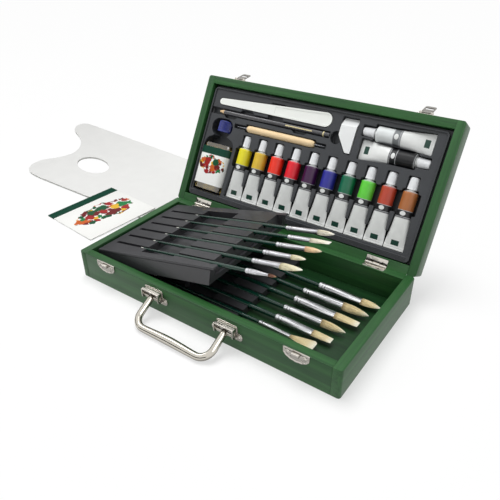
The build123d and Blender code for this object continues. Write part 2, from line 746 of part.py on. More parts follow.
def brush(shape, belly, neck):
    """Handle, ferrule and hair of one brush."""
    (handle_end, ferrule_end, hair_end), head, wide, thick = shape
    handle = brush_handle(handle_end, belly, neck)
    grip_r = neck + FERRULE_STEP
    if head == "fan":
        sleeve = ferrule(handle_end, ferrule_end, grip_r, 4.6, 2.4)
        return handle, sleeve, fan_hair(ferrule_end, hair_end, wide)
    sleeve = ferrule(handle_end, ferrule_end, grip_r, wide, thick)
    if head == "round":
        return handle, sleeve, round_hair(ferrule_end, hair_end, wide / 2)
    return handle, sleeve, HEADS[head](ferrule_end, hair_end, wide, thick)


def upper_brush(row, tip, shape):
    """An upper brush lying in its slot on the flat tray."""
    at = Pos(
        UPPER_TRAY_X + UPPER_TRAY_FLARE + tip,
        UPPER_TRAY_Y + upper_v(row),
        LOWER_TRAY_TOP + UPPER_TRAY_H + UPPER_TRAY_LIFT + UPPER_AXIS,
    )
    return [at * Rot(0, 0, SLOT_SKEW) * piece for piece in brush(shape, UPPER_BELLY_R, UPPER_NECK_R)]


def lower_brush(x, y, shape):
    neck = FAN_NECK_R if shape[1] == "fan" else LOWER_NECK_R
    return [Pos(x, y, LOWER_AXIS_Z) * piece for piece in brush(shape, neck + 0.7, neck)]


# Paint tubes, each drawn along +Y from the tip of its cap


def tube(body_r, crimp_half, cap_r=6.5):
    """A crimped metal tube and its screw cap."""
    up = Plane(origin=(0, 0, 0), x_dir=(1, 0, 0), z_dir=(0, 1, 0))
    neck_r = 4.2
    outline = Polyline(
        (0, CAP_L), (neck_r, CAP_L), (neck_r, CAP_L + 1.2), (body_r, SHOULDER_AT),
        (body_r, TAPER_AT), (0, TAPER_AT), close=True,
    )
    body = revolve(make_face(outline), Axis.Y)
    flat = SlotOverall(2 * crimp_half, 1.8)
    body += loft([up.offset(TAPER_AT) * Circle(body_r), up.offset(CRIMP_AT) * flat])
    body += extrude(up.offset(CRIMP_AT) * Rectangle(2 * crimp_half, 2.6), TUBE_L - CRIMP_AT)
    cap_outline = Polyline(
        (0, 0), (cap_r - 1.4, 0), (cap_r - 0.7, 0.8), (cap_r, CAP_L), (0, CAP_L), close=True
    )
    cap = revolve(make_face(cap_outline), Axis.Y)
    return body, cap


SMALL_TUBES = (
    "tube_lemon_yellow",
    "tube_golden_yellow",
    "tube_vermilion",
    "tube_crimson",
    "tube_violet",
    "tube_ultramarine",
    "tube_viridian",
    "tube_light_green",
    "tube_red_brown",
    "tube_brown",
)


def small_tube(i):
    at = Pos(TUBE_FIRST_X + i * TUBE_PITCH, TUBE_TIP_V, BASE_H + TUBE_AXIS_D)
    return [at * piece for piece in tube(**SMALL_TUBE)]


def large_tube(at, turn):
    x, y = at
    place = Pos(x, y, BASE_H + LARGE_AXIS_D) * Rot(0, 0, turn)
    return [place * piece for piece in tube(**LARGE_TUBE)]


# Bottle


def flask(grow, neck_r, base_v, mouth_v):
    """The bottle's outside or, with a negative grow, its inside."""
    up = Plane(origin=(BOTTLE_X, 0, BASE_H + BOTTLE_AXIS_D), x_dir=(1, 0, 0), z_dir=(0, 1, 0))
    wide, thick = BOTTLE_W + 2 * grow, BOTTLE_T + 2 * grow
    section = RectangleRounded(wide, thick, 9.5 + grow)
    body = extrude(up.offset(BOTTLE_SHOULDER_V) * section, base_v - BOTTLE_SHOULDER_V)
    half_way = (BOTTLE_SHOULDER_V + BOTTLE_NECK_V) / 2 - 1.5
    shoulder_section = RectangleRounded(wide * 0.8, thick * 0.86, 8.5 + grow)
    shoulder = loft(
        [
            up.offset(BOTTLE_SHOULDER_V) * section,
            up.offset(half_way) * shoulder_section,
            up.offset(BOTTLE_NECK_V) * Circle(neck_r),
        ]
    )
    neck = extrude(up.offset(mouth_v) * Circle(neck_r), BOTTLE_NECK_V - mouth_v)
    return body + shoulder + neck


def bottle():
    outside = flask(0, 7.6, BOTTLE_BASE_V, BOTTLE_MOUTH_V)
    inside = flask(-BOTTLE_WALL, 5.6, BOTTLE_BASE_V - 2.5, BOTTLE_MOUTH_V - 1)
    return outside - inside


def oil():
    """The oil, filled up into the shoulders, a hair clear of the glass."""
    inside = flask(-BOTTLE_WALL - 0.15, 5.4, BOTTLE_BASE_V - 2.7, BOTTLE_MOUTH_V)
    fill_v = BOTTLE_SHOULDER_V - 4
    return inside - block(0, 100, 0, fill_v, BASE_H - 20, BASE_H + 60)


def bottle_cap():
    """The screw cap over the neck, hollow, with a fluted grip."""
    up = Plane(origin=(BOTTLE_X, 0, BASE_H + BOTTLE_AXIS_D), x_dir=(1, 0, 0), z_dir=(0, 1, 0))
    top, skirt = 60.8, 77.0
    cap = extrude(up.offset(top) * Circle(10.4), skirt - top)
    edge = cap.edges().filter_by(GeomType.CIRCLE).group_by(Axis.Y)[0]
    cap = fillet(edge, 1.2)
    cap -= extrude(up.offset(BOTTLE_MOUTH_V - 0.3) * Circle(7.9), 12)
    flutes = [
        up.offset(top + 2.0) * Rot(0, 0, i * 20) * Pos(10.6, 0) * Circle(0.6) for i in range(18)
    ]
    for flute in flutes:
        cap -= extrude(flute, skirt - top)
    return cap


# Tools in the lid


def palette_knife():
    """A moulded knife: thick handle with a sunk contour, thin flexible blade."""
    top, foot = BASE_H + 4.6, BASE_H + 7.9
    whole = Pos(0, 0, top) * extrude(knife_outline(0), foot - top)
    blade_room = block(20, 116, 10, 50, foot - 2.3, foot + 1)
    whole -= blade_room
    inset = knife_outline(-2.4) & (Pos(168, 30) * Rectangle(88, 30))
    return whole - Pos(0, 0, top) * extrude(inset, 0.5)


def pencil():
    """A round pencil, sharpened at its left end."""
    r, x0, x1 = 3.6, 27.0, 215.0
    outline = Polyline(
        (x0, 0), (x0 + 0.4, 0.5), (x0 + 13, r), (x1 - 0.8, r), (x1, r - 0.8), (x1, 0), close=True
    )
    return Pos(0, 48.0, BASE_H + 8.0) * revolve(make_face(outline), Axis.X)


def needle_tool():
    """A turned wooden handle with a steel needle set in each end."""
    x0, x1, r = 86.0, 197.0, 5.0
    taper_l, taper_r = 6.0, 3.2
    outline = Polyline(
        (x0, 0), (x0, taper_r), (x0 + taper_l, r), (x1 - taper_l, r), (x1, taper_r), (x1, 0),
        close=True,
    )
    handle = revolve(make_face(outline), Axis.X)
    spike = 1.2
    left = Polyline((66, 0), (66.4, 0.3), (78, spike), (x0, spike), (x0, 0), close=True)
    right = Polyline((x1, 0), (x1, spike), (205, spike), (212.6, 0.3), (213, 0), close=True)
    pieces = [handle] + [revolve(make_face(o), Axis.X) for o in (left, right)]
    return [Pos(0, 64.2, BASE_H + 8.1) * piece for piece in pieces]


def eraser():
    """A slab eraser with a slanted side and a bevelled end."""
    top, foot = BASE_H + 4.0, BASE_H + 15.0
    slab = Pos(0, 0, top) * extrude(eraser_outline(0), foot - top)
    corner = Polygon((20.9, top - 0.1), (32.0, top - 0.1), (20.9, top + 7.5), align=None)
    bevel = Pos(260, 0, 0) * extrude(Plane.YZ * corner, -60)
    return slab - bevel


# Palette and booklet on the table


def mixing_palette():
    """A thin palette with a bite in its left side and an oval thumb hole."""
    lobe = Spline((-470, 409), (-488, 397), (-478, 374), (-430, 344), (-384, 312), (-358, 265),
                  (-368, 232), (-380, 205), (-364, 172), (-330, 160), (-300, 158))
    near = Line((-300, 158), (-28, 154))
    near_corner = ThreePointArc((-28, 154), (-14, 160), (-8, 174))
    right = Line((-8, 174), (-8, 346))
    far_corner = ThreePointArc((-8, 346), (-14, 360), (-28, 366))
    far = Line((-28, 366), (-470, 409))
    board = extrude(make_face([lobe, near, near_corner, right, far_corner, far]), PALETTE_T)
    hole = Pos(-277, 253) * Rot(0, 0, -18) * Ellipse(45, 26)
    return board - extrude(hole, PALETTE_T)


def booklet():
    """A folded leaflet, its far end lying on the palette and its near edge on the table."""
    rise = 2.0
    cover = Box(BOOKLET_W, BOOKLET_L, BOOKLET_T)
    spine = cover.edges().filter_by(Axis.X).sort_by(Axis.Y)[-2:]
    cover = fillet(spine, 0.7)
    place = Pos(-113.5, 131.5, 3.35) * Rot(0, 0, BOOKLET_TURN) * Rot(rise, 0, 0)
    return place * cover


def main():
    os.makedirs("parts", exist_ok=True)

    front, back, ends = base_boards()
    save("base_front_board", front)
    save("base_back_board", back)
    save("base_end_boards", *ends)
    save("base_bottom_panel", panel(0))

    front, back, ends = lid_boards()
    save("lid_front_board", opened(front))
    save("lid_back_board", opened(back))
    save("lid_end_boards", *[opened(e) for e in ends])
    save("lid_top_panel", opened(panel(BASE_H + LID_H - PANEL)))

    save("hinge_base_leaves", *[hinge_leaf(x, lid=False) for x in HINGE_X])
    save("hinge_lid_leaves", *[opened(hinge_leaf(x, lid=True)) for x in HINGE_X])
    save("hinge_pins", *[hinge_pin(x) for x in HINGE_X])
    base_screws = [p * flush_screw() for p in hinge_screw_places()]
    base_screws += [p * dome_screw() for p in front_screw_places()]
    save("base_screws", *base_screws)
    lid_screws = [p * flush_screw() for p in lid_hinge_screw_places()]
    lid_screws += [p * dome_screw() for p in lid_front_screw_places()]
    save("lid_screws", *[opened(s) for s in lid_screws])

    save("catch_plates", *[catch_plate(x) for x in HINGE_X])
    save("lid_latch_plates", *[opened(latch_plate(x)) for x in HINGE_X])
    save("latch_pins", *[opened(latch_pin(x)) for x in HINGE_X])
    save("latch_hasp_left", opened(hasp(HINGE_X[0])))
    save("latch_hasp_right", opened(hasp(HINGE_X[1])))
    save("handle_mounts", *[handle_mount(x) for x in HANDLE_X])
    save("handle_bail", bail())

    save("lid_tray", opened(lid_tray()))
    save("upper_brush_tray", tilted(upper_tray()))
    save("lower_brush_tray", lower_tray())

    for name, spec in UPPER_BRUSHES.items():
        save(name, *[tilted(piece) for piece in upper_brush(*spec)])
    for name, spec in LOWER_BRUSHES.items():
        save(name, *lower_brush(*spec))

    for i, name in enumerate(SMALL_TUBES):
        save(name, *[opened(piece) for piece in small_tube(i)])
    save("tube_white_large", *[opened(p) for p in large_tube(WHITE_TUBE_AT, -90)])
    save("tube_black_large", *[opened(p) for p in large_tube(BLACK_TUBE_AT, 90)])

    save("oil_bottle", opened(bottle()))
    save("oil_fill", opened(oil()))
    save("bottle_cap", opened(bottle_cap()))
    save("palette_knife", opened(palette_knife()))
    save("pencil", opened(pencil()))
    save("needle_tool", *[opened(p) for p in needle_tool()])
    save("eraser", opened(eraser()))

    save("mixing_palette", mixing_palette())
    save("booklet", booklet())


main()
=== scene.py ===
import json
from math import cos, pi, radians, sin, tau

import bmesh
import bpy
import numpy as np
from mathutils import Matrix, Vector

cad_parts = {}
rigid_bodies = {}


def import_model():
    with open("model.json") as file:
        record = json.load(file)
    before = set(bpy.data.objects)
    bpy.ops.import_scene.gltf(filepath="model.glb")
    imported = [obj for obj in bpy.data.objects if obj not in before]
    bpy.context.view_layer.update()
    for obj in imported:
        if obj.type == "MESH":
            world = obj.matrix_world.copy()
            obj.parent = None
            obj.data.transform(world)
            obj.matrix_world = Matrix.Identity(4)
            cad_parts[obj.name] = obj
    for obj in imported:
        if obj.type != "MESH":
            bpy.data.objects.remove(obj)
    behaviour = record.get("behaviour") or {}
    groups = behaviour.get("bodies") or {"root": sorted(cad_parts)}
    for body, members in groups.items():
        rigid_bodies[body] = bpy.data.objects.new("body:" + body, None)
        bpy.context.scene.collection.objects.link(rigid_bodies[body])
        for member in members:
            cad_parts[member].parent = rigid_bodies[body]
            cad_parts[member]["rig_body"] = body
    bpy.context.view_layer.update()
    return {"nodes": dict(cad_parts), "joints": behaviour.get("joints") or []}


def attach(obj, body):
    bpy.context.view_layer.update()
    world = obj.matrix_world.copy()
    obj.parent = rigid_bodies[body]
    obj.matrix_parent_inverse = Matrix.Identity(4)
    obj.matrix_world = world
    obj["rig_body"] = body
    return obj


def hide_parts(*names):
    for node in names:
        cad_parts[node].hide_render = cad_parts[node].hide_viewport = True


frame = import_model()
bpy.ops.object.select_all(action="DESELECT")
mm = 0.001

# Camera
# A little above the box and to the right of its handle, looking down across the open
# base at the lid. The lens gives the photograph's own perspective.
eye = Vector((329.8, -443.5, 404.1)) * mm
aim = Vector((11.6, 4.5, 60.0)) * mm
lens_mm = 38.155
roll_deg = -0.25
camera = bpy.data.objects.new("camera", bpy.data.cameras.new("camera"))
camera.data.lens = lens_mm
camera.location = eye
camera.rotation_euler = (aim - eye).to_track_quat("-Z", "Y").to_euler()
camera.rotation_euler.rotate_axis("Z", radians(roll_deg))
bpy.context.scene.collection.objects.link(camera)
bpy.context.scene.camera = camera

# Studio
# A pale sweep of floor under one broad soft box overhead, with a fill from the front
# left and a white room all round for the nickel, the lacquer and the glass to reflect.
bpy.context.scene.view_settings.view_transform = "Standard"


def srgb(red, green, blue):
    """A colour as read from a picture, 0 to 255 a channel, in the renderer's own terms."""
    shares = [c / 255 for c in (red, green, blue)]
    return tuple(c / 12.92 if c <= 0.04045 else ((c + 0.055) / 1.055) ** 2.4 for c in shares)


def node(tree, kind, inputs=None, **settings):
    """A shader node with its inputs set to values or joined to other nodes' outputs."""
    made = tree.nodes.new("ShaderNode" + kind)
    for name, value in settings.items():
        setattr(made, name, value)
    for name, value in (inputs or {}).items():
        if isinstance(value, bpy.types.NodeSocket):
            tree.links.new(value, made.inputs[name])
        else:
            made.inputs[name].default_value = value
    return made


def new_finish(name):
    """A material of its own, with its node tree and its shader."""
    finish = bpy.data.materials.new(name)
    finish.use_nodes = True
    return finish, finish.node_tree, finish.node_tree.nodes["Principled BSDF"]


def evenly(shader, values):
    """Values that are the same all over a finish, set on the shader's own inputs."""
    for name, value in values.items():
        shader.inputs[name].default_value = value


def worked(tree, how, *values):
    """One step of arithmetic, on values and on what other nodes give."""
    return node(tree, "Math", dict(enumerate(values)), operation=how).outputs[0]


def backdrop_seen(tree, unseen, seen):
    """One value for light that falls on things, another for rays that see the backdrop."""
    rays = node(tree, "LightPath").outputs
    gloss = worked(tree, "MAXIMUM", rays["Is Glossy Ray"], rays["Is Transmission Ray"])
    any_ray = worked(tree, "MAXIMUM", rays["Is Camera Ray"], gloss)
    chosen = node(tree, "MapRange", {"Value": any_ray, "To Min": unseen, "To Max": seen})
    return chosen.outputs[0]


room = bpy.data.worlds.new("room")
bpy.context.scene.world = room
room.use_nodes = True
room_light, room_white = 0.5, 1.0
background = room.node_tree.nodes["Background"]
background.inputs["Color"].default_value = (1, 1, 1, 1)
room.node_tree.links.new(
    backdrop_seen(room.node_tree, room_light, room_white), background.inputs["Strength"])

# The floor whitens with distance from the box's outline, so that its shadows stay close to it.
BOX_HALF = (0.19, 0.095, 0)
bpy.ops.mesh.primitive_plane_add(size=24, location=(0, 0, -0.0002))
floor = bpy.context.object
floor.name = "floor"
floor_paint, tree, shader = new_finish("floor_paint")
evenly(shader, {"Base Color": (*srgb(250, 250, 250), 1), "Roughness": 0.8,
                "Specular IOR Level": 0.1})
glow = node(tree, "Emission", {"Color": (1, 1, 1, 1), "Strength": 1.0})
place = node(tree, "TexCoord").outputs["Object"]
where = node(tree, "VectorMath", {0: place}, operation="ABSOLUTE")
beyond = node(tree, "VectorMath", {0: where.outputs[0], 1: BOX_HALF}, operation="SUBTRACT")
outside = node(tree, "VectorMath", {0: beyond.outputs[0], 1: (0, 0, 0)}, operation="MAXIMUM")
far_off = node(tree, "VectorMath", {0: outside.outputs[0]}, operation="LENGTH")
floor_white = node(tree, "MapRange", {"Value": far_off.outputs["Value"], "From Min": 0.02,
                                      "From Max": 0.13, "To Min": 0.55, "To Max": 0.96})
seen_share = worked(tree, "MULTIPLY", backdrop_seen(tree, 0.0, 1.0), floor_white.outputs[0])
sweep = node(tree, "MixShader", {0: seen_share, 1: shader.outputs[0], 2: glow.outputs[0]})
tree.links.new(sweep.outputs[0], tree.nodes["Material Output"].inputs["Surface"])
floor.data.materials.append(floor_paint)


def soft_box(name, place, target, size, power):
    """A square area lamp turned towards a target: the room and the cards make the reflections."""
    lamp = bpy.data.objects.new(name, bpy.data.lights.new(name, "AREA"))
    lamp.data.shape = "SQUARE"
    lamp.data.size = size
    lamp.data.energy = power
    lamp.location = place
    lamp.visible_glossy = False
    lamp.rotation_euler = (Vector(target) - Vector(place)).to_track_quat("-Z", "Y").to_euler()
    bpy.context.scene.collection.objects.link(lamp)


soft_box("overhead", (-0.35, 0.15, 1.7), (0, 0.05, 0.05), 0.9, 21)
soft_box("front_fill", (-0.9, -1.5, 0.9), (0, 0, 0.1), 0.9, 4)

# Two dark cards and three bright ones stand out of the picture, seen only in polished surfaces.
for name, place, wide, high, power in (("card_front", (-0.2, -1.25, 0.24), 2.0, 0.42, 0.0),
                                       ("card_left", (-1.25, 0.1, 0.24), 2.2, 0.42, 0.0),
                                       ("card_bright", (1.0, -0.4, 1.2), 0.7, 0.7, 5.0),
                                       ("card_strip", (-1.0, 0.0, 1.4), 0.14, 0.8, 9.0),
                                       ("card_over", (-0.3, 0.15, 1.65), 0.26, 1.3, 3.0)):
    facing = (Vector((0, 0.1, 0.1)) - Vector(place)).to_track_quat("Z", "Y").to_euler()
    bpy.ops.mesh.primitive_plane_add(size=1, location=place, rotation=facing)
    card = bpy.context.object
    card.name = name
    card.scale = (wide, high, 1)
    paint, tree, _ = new_finish(name)
    glow = node(tree, "Emission", {"Color": (1, 1, 1, 1), "Strength": power})
    tree.links.new(glow.outputs[0], tree.nodes["Material Output"].inputs["Surface"])
    card.data.materials.append(paint)
    card.visible_camera = card.visible_diffuse = card.visible_shadow = False

# Wooden box
# Eight pine boards stained dark green and lacquered, butt jointed at the corners with
# the end boards running the full depth, and a thin plywood panel let into each half.
LENGTH, DEPTH, BOARD, PANEL = 380.0, 190.0, 11.0, 3.0
RIM, TOP = 38.0, 66.0
CORNER_R = 3.5
SHARP_DEG = 38
HINGE_X = (50.0, 329.0)
HINGE_Y = 190.3
MORTISE_HALF, MORTISE_FROM, MORTISE_DEEP = 14.2, 180.8, 1.0
KNUCKLES_FROM, KNUCKLES_DEEP, PAST_BACK = 188.1, 2.2, 195

lid_joint = next(j for j in frame["joints"] if j["name"] == "lid_hinge")
lid_lean = radians(lid_joint["range_deg"][0])
from_corner = Matrix.Translation(Vector((-LENGTH / 2, -DEPTH / 2, 0)) * mm)
hinge_line = Vector((0, HINGE_Y, RIM)) * mm
in_open_lid = (from_corner @ Matrix.Translation(hinge_line) @ Matrix.Rotation(lid_lean, 4, "X")
               @ Matrix.Translation(-hinge_line))


def only(piece):
    """Leave one piece selected and active."""
    bpy.ops.object.select_all(action="DESELECT")
    piece.select_set(True)
    bpy.context.view_layer.objects.active = piece


def opened(piece):
    """Start editing one piece."""
    only(piece)
    bpy.ops.object.mode_set(mode="EDIT")


def block(low, high):
    """A block between two corners, in millimetres from the box's left front corner."""
    low, high = Vector(low), Vector(high)
    bpy.ops.object.select_all(action="DESELECT")
    bpy.ops.mesh.primitive_cube_add(size=1, location=(low + high) / 2 * mm, scale=(high - low) * mm)
    bpy.ops.object.transform_apply(location=True, rotation=True, scale=True)
    return bpy.context.object


def pick(piece, kind, wanted):
    """In edit mode, select only the corners, sharp edges or faces whose middle passes a test."""
    bpy.ops.mesh.select_mode(type=kind)
    bpy.ops.mesh.select_all(action="DESELECT")
    mesh = bmesh.from_edit_mesh(piece.data)
    for part in {"VERT": mesh.verts, "EDGE": mesh.edges, "FACE": mesh.faces}[kind]:
        if kind == "EDGE" and part.calc_face_angle(0) < radians(SHARP_DEG):
            continue
        corners = [part] if kind == "VERT" else part.verts
        middle = sum((v.co for v in corners), Vector()) / len(corners) / mm
        part.select_set(wanted(middle))
    bmesh.update_edit_mesh(piece.data)


def rounded(piece, radius_mm, wanted, steps=6):
    """Round the edges whose middles pass a test."""
    opened(piece)
    pick(piece, "EDGE", wanted)
    bpy.ops.mesh.bevel(offset=radius_mm * mm, segments=steps, affect="EDGES")
    bpy.ops.object.mode_set(mode="OBJECT")
    return piece


def eased(piece, width_mm, steps=2):
    """Take the sharpness off every edge of a piece."""
    only(piece)
    rounding = piece.modifiers.new("rounding", "BEVEL")
    rounding.width = width_mm * mm
    rounding.segments = steps
    rounding.limit_method = "ANGLE"
    rounding.angle_limit = radians(SHARP_DEG)
    bpy.ops.object.modifier_apply(modifier="rounding")
    return piece


def cut(piece, cutter):
    """Take a cutter's shape out of a piece."""
    only(piece)
    taking = piece.modifiers.new("taking", "BOOLEAN")
    taking.operation = "DIFFERENCE"
    taking.object = cutter
    bpy.ops.object.modifier_apply(modifier="taking")
    bpy.data.objects.remove(cutter)
    return piece


def finished(piece, name, stands_for, material, place=from_corner, smooth_deg=35):
    """Name a new piece, move it to its place, finish it and let it stand for a CAD piece."""
    piece.name = name
    piece.data.name = name
    piece.data.transform(place)
    piece.data.materials.clear()
    piece.data.materials.append(material)
    only(piece)
    bpy.ops.object.shade_smooth_by_angle(angle=radians(smooth_deg))
    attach(piece, frame["nodes"][stands_for]["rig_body"])
    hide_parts(stands_for)


def blended(tree, factor, a, b):
    """Two colours mixed, each a colour or another node's output."""
    a, b = [c if isinstance(c, bpy.types.NodeSocket) else (*c, 1) for c in (a, b)]
    return node(tree, "Mix", {"Factor": factor, "A": a, "B": b}, data_type="RGBA").outputs["Result"]


def noise(tree, where, scale, detail, **more):
    """A soft random pattern, from nought to one."""
    pattern = {"Vector": where, "Scale": scale, "Detail": detail, **more}
    return node(tree, "TexNoise", pattern).outputs[0]


def toned(tree, colour, share):
    """A colour made darker or lighter by a pattern."""
    return node(tree, "VectorMath", {0: colour, "Scale": share}, operation="SCALE").outputs[0]


def hazed(tree, shader, pattern, low, high):
    """Gloss that follows a pattern, from one roughness to another."""
    haze = node(tree, "MapRange", {"Value": pattern, "To Min": low, "To Max": high})
    tree.links.new(haze.outputs[0], shader.inputs["Roughness"])


def relieved(tree, shader, pattern, strength, height):
    """A pattern raised on the surface, its height in metres."""
    relief = node(tree, "Bump", {"Height": pattern, "Strength": strength, "Distance": height})
    tree.links.new(relief.outputs[0], shader.inputs["Normal"])


def stained_wood(name, grain_mm, lean=0.0, deep=srgb(16, 58, 26), light=srgb(48, 100, 48)):
    """Green stain over grain of that length along X, Y and Z, with a satin lacquer."""
    wood, tree, shader = new_finish(name)
    where = node(tree, "TexCoord").outputs["Object"]
    along = node(tree, "Mapping", {"Vector": where, "Rotation": (lean, 0, 0),
                                   "Scale": [g * mm for g in grain_mm]}, vector_type="TEXTURE")
    fibres = noise(tree, along.outputs[0], 1.0, 8.0, Roughness=0.7, Distortion=0.3)
    rings = noise(tree, along.outputs[0], 0.22, 3.0, Distortion=0.8)
    patches = noise(tree, where, 14.0, 2.0)
    streak = worked(tree, "ADD", fibres, rings)
    tone = node(tree, "MapRange", {"Value": streak, "From Min": 0.66, "From Max": 1.36})
    uneven = node(tree, "MapRange", {"Value": patches, "To Min": 0.8, "To Max": 1.15})
    stain = blended(tree, tone.outputs[0], deep, light)
    tree.links.new(toned(tree, stain, uneven.outputs[0]), shader.inputs["Base Color"])
    relieved(tree, shader, fibres, 0.22, 0.0004)
    hazed(tree, shader, fibres, 0.38, 0.55)
    evenly(shader, {"Specular IOR Level": 0.36, "Coat Weight": 0.1, "Coat Roughness": 0.24})
    return wood


long_grain = stained_wood("green_wood_long", (90, 2.0, 2.0))
end_grain = stained_wood("green_wood_ends", (2.0, 90, 2.0))
lid_end_grain = stained_wood("green_wood_lid_ends", (2.0, 90, 2.0), lid_lean)
# The base's panel takes a darker copy of the ply stain than the lid's: painted shade for the floor
# inside the box.
shaded_base_ply = stained_wood("green_ply", (120, 4, 4), 0.0, srgb(9, 38, 18), srgb(30, 70, 34))
lid_ply = stained_wood("green_ply_lid", (120, 4, 4), lid_lean)


def hinge_cuts(board):
    """Two shallow mortises in a rim for the hinge leaves, with room for their knuckles."""
    for x in HINGE_X:
        a, b = x - MORTISE_HALF, x + MORTISE_HALF
        for y, deep in ((MORTISE_FROM, MORTISE_DEEP), (KNUCKLES_FROM, KNUCKLES_DEEP)):
            cut(board, block((a, y, RIM - deep), (b, PAST_BACK, RIM + deep)))
    return board


def eased_board(board):
    """Ease a board all round but where the two back rims pivot on each other."""
    return rounded(board, ease, lambda m: m.y < DEPTH - 1 or abs(m.z - RIM) > 1, 2)


def end_board(x, z0, z1):
    """An end board with its outer upright corners rounded."""
    outer = 0 if x == 0 else LENGTH
    made = block((x, 0, z0), (x + BOARD, back_face, z1))
    middle = (z0 + z1) / 2
    return rounded(made, CORNER_R, lambda m: abs(m.z - middle) < 1 and abs(m.x - outer) < 1
                   and min(abs(m.y), abs(m.y - DEPTH)) < 1)


ease, back_face, panel_ease = 0.45, DEPTH + 0.34, 0.2
for half, z0, z1, place, ends_wood in (("base", 0, RIM, from_corner, end_grain),
                                       ("lid", RIM, TOP, in_open_lid, lid_end_grain)):
    front = block((BOARD, 0, z0), (LENGTH - BOARD, BOARD, z1))
    finished(eased(front, ease), half + "_front", half + "_front_board", long_grain, place)
    back = eased_board(block((BOARD, DEPTH - BOARD, z0), (LENGTH - BOARD, back_face, z1)))
    finished(hinge_cuts(back), half + "_back", half + "_back_board", long_grain, place)
    for side, x in (("left", 0), ("right", LENGTH - BOARD)):
        finished(eased_board(end_board(x, z0, z1)), f"{half}_{side}_end", half + "_end_boards",
                 ends_wood, place)
panel_room = 0.05
inside = (BOARD + panel_room, LENGTH - BOARD - panel_room, DEPTH - BOARD - panel_room)
bottom = block((inside[0], inside[0], 0), (inside[1], inside[2], PANEL))
finished(eased(bottom, panel_ease), "base_floor", "base_bottom_panel", shaded_base_ply)
roof = block((inside[0], inside[0], TOP - PANEL), (inside[1], inside[2], TOP))
finished(eased(roof, panel_ease), "lid_roof", "lid_top_panel", lid_ply, in_open_lid)

# Hinges
# Two nickel-plated steel butt hinges let into the back rims. The base leaf is rolled into
# the outer two knuckles, the lid leaf into the middle one, and a steel pin joins them.


def painted_underside_shade(tree, colour, least):
    """A metal's colour with painted shade: darker where it faces down."""
    upward = node(tree, "SeparateXYZ", {0: node(tree, "NewGeometry").outputs["Normal"]}).outputs[2]
    share = node(tree, "MapRange", {"Value": upward, "From Min": -0.25, "From Max": 0.42,
                                    "To Min": least, "To Max": 1.0},
                 interpolation_type="SMOOTHSTEP")
    return toned(tree, colour, share.outputs[0])


def plated(name, tint=(222, 217, 208), dull=0.16):
    """Polished nickel plate, a little uneven as stamped sheet is, with painted shade where it faces
    down.
    """
    metal, tree, shader = new_finish(name)
    shader.inputs["Metallic"].default_value = 1.0
    where = node(tree, "TexCoord").outputs["Object"]
    waves = noise(tree, where, 260.0, 3.0)
    worn = blended(tree, waves, srgb(*[c * 0.9 for c in tint]), srgb(*tint))
    tree.links.new(painted_underside_shade(tree, worn, 0.4), shader.inputs["Base Color"])
    hazed(tree, shader, waves, dull * 0.6, dull * 1.5)
    relieved(tree, shader, waves, 0.14, 0.0004)
    return metal


def faced_outward():
    """Turn all faces of the piece that is being edited outward, and end the editing."""
    bpy.ops.mesh.select_all(action="SELECT")
    bpy.ops.mesh.normals_make_consistent(inside=False)
    bpy.ops.object.mode_set(mode="OBJECT")


def drawn_out(sides, stations):
    """A closed piece along +Y, ring by ring: each one's place, half width and half thickness."""
    bpy.ops.object.select_all(action="DESELECT")
    bpy.ops.mesh.primitive_circle_add(vertices=sides, radius=mm, fill_type="NGON",
                                      location=(0, 0, 0), rotation=(pi / 2, 0, 0))
    piece = bpy.context.object
    bpy.ops.object.transform_apply(location=True, rotation=True, scale=True)
    bpy.ops.object.mode_set(mode="EDIT")
    bpy.ops.mesh.select_all(action="SELECT")
    (y, wide, thick), *rest = [(s[0], s[1], s[-1]) for s in stations]
    bpy.ops.transform.resize(value=(wide, 1, thick), center_override=(0, 0, 0))
    bpy.ops.transform.translate(value=(0, y * mm, 0))
    for next_y, next_wide, next_thick in rest:
        bpy.ops.mesh.extrude_region_move(
            TRANSFORM_OT_translate={"value": (0, (next_y - y) * mm, 0)})
        bpy.ops.transform.resize(value=(next_wide / wide, 1, next_thick / thick),
                                 center_override=(0, next_y * mm, 0))
        y, wide, thick = next_y, next_wide, next_thick
    faced_outward()
    return piece


def joined(pieces):
    """Several shapes made one piece."""
    bpy.ops.object.select_all(action="DESELECT")
    for piece in pieces:
        piece.select_set(True)
    bpy.context.view_layer.objects.active = pieces[0]
    bpy.ops.object.join()
    return bpy.context.object


def moved(piece, *steps):
    """A shape carried by one matrix after another."""
    for step in steps:
        piece.data.transform(step)
    return piece


def shift(x, y, z):
    """A move in millimetres."""
    return Matrix.Translation(Vector((x, y, z)) * mm)


def turn(degrees, axis):
    return Matrix.Rotation(radians(degrees), 4, axis)


nickel = plated("nickel")
along_x = turn(-90, "Z")
LEAF_HALF, LEAF_T, KNUCKLE_R = 14.0, 0.95, 1.9
LEAF_FROM, LEAF_TO, WEB_FROM = 181.0, 188.1, 188.0
third = LEAF_HALF * 2 / 3
outer_knuckles = ((-LEAF_HALF, -third / 2 - 0.1), (third / 2 + 0.1, LEAF_HALF))
middle_knuckle = ((-third / 2 + 0.2, third / 2 - 0.2),)
for half, down, spans in (("base", 1, outer_knuckles), ("lid", -1, middle_knuckle)):
    place = from_corner if half == "base" else in_open_lid
    z0, z1 = sorted((RIM - 0.05 * down, RIM - (0.05 + LEAF_T) * down))
    for side, x in zip(("left", "right"), HINGE_X):
        leaf = block((x - LEAF_HALF, LEAF_FROM, z0), (x + LEAF_HALF, LEAF_TO, z1))
        parts = [eased(leaf, 0.25)]
        for a, b in spans:
            parts.append(block((x + a, WEB_FROM, z0), (x + b, HINGE_Y, z1)))
            rings = [(0, KNUCKLE_R - 0.3), (0.3, KNUCKLE_R), (b - a - 0.3, KNUCKLE_R),
                     (b - a, KNUCKLE_R - 0.3)]
            parts.append(moved(drawn_out(28, rings), along_x, shift(x + a, HINGE_Y, RIM)))
        finished(joined(parts), f"{half}_hinge_leaf_{side}", f"hinge_{half}_leaves", nickel, place)
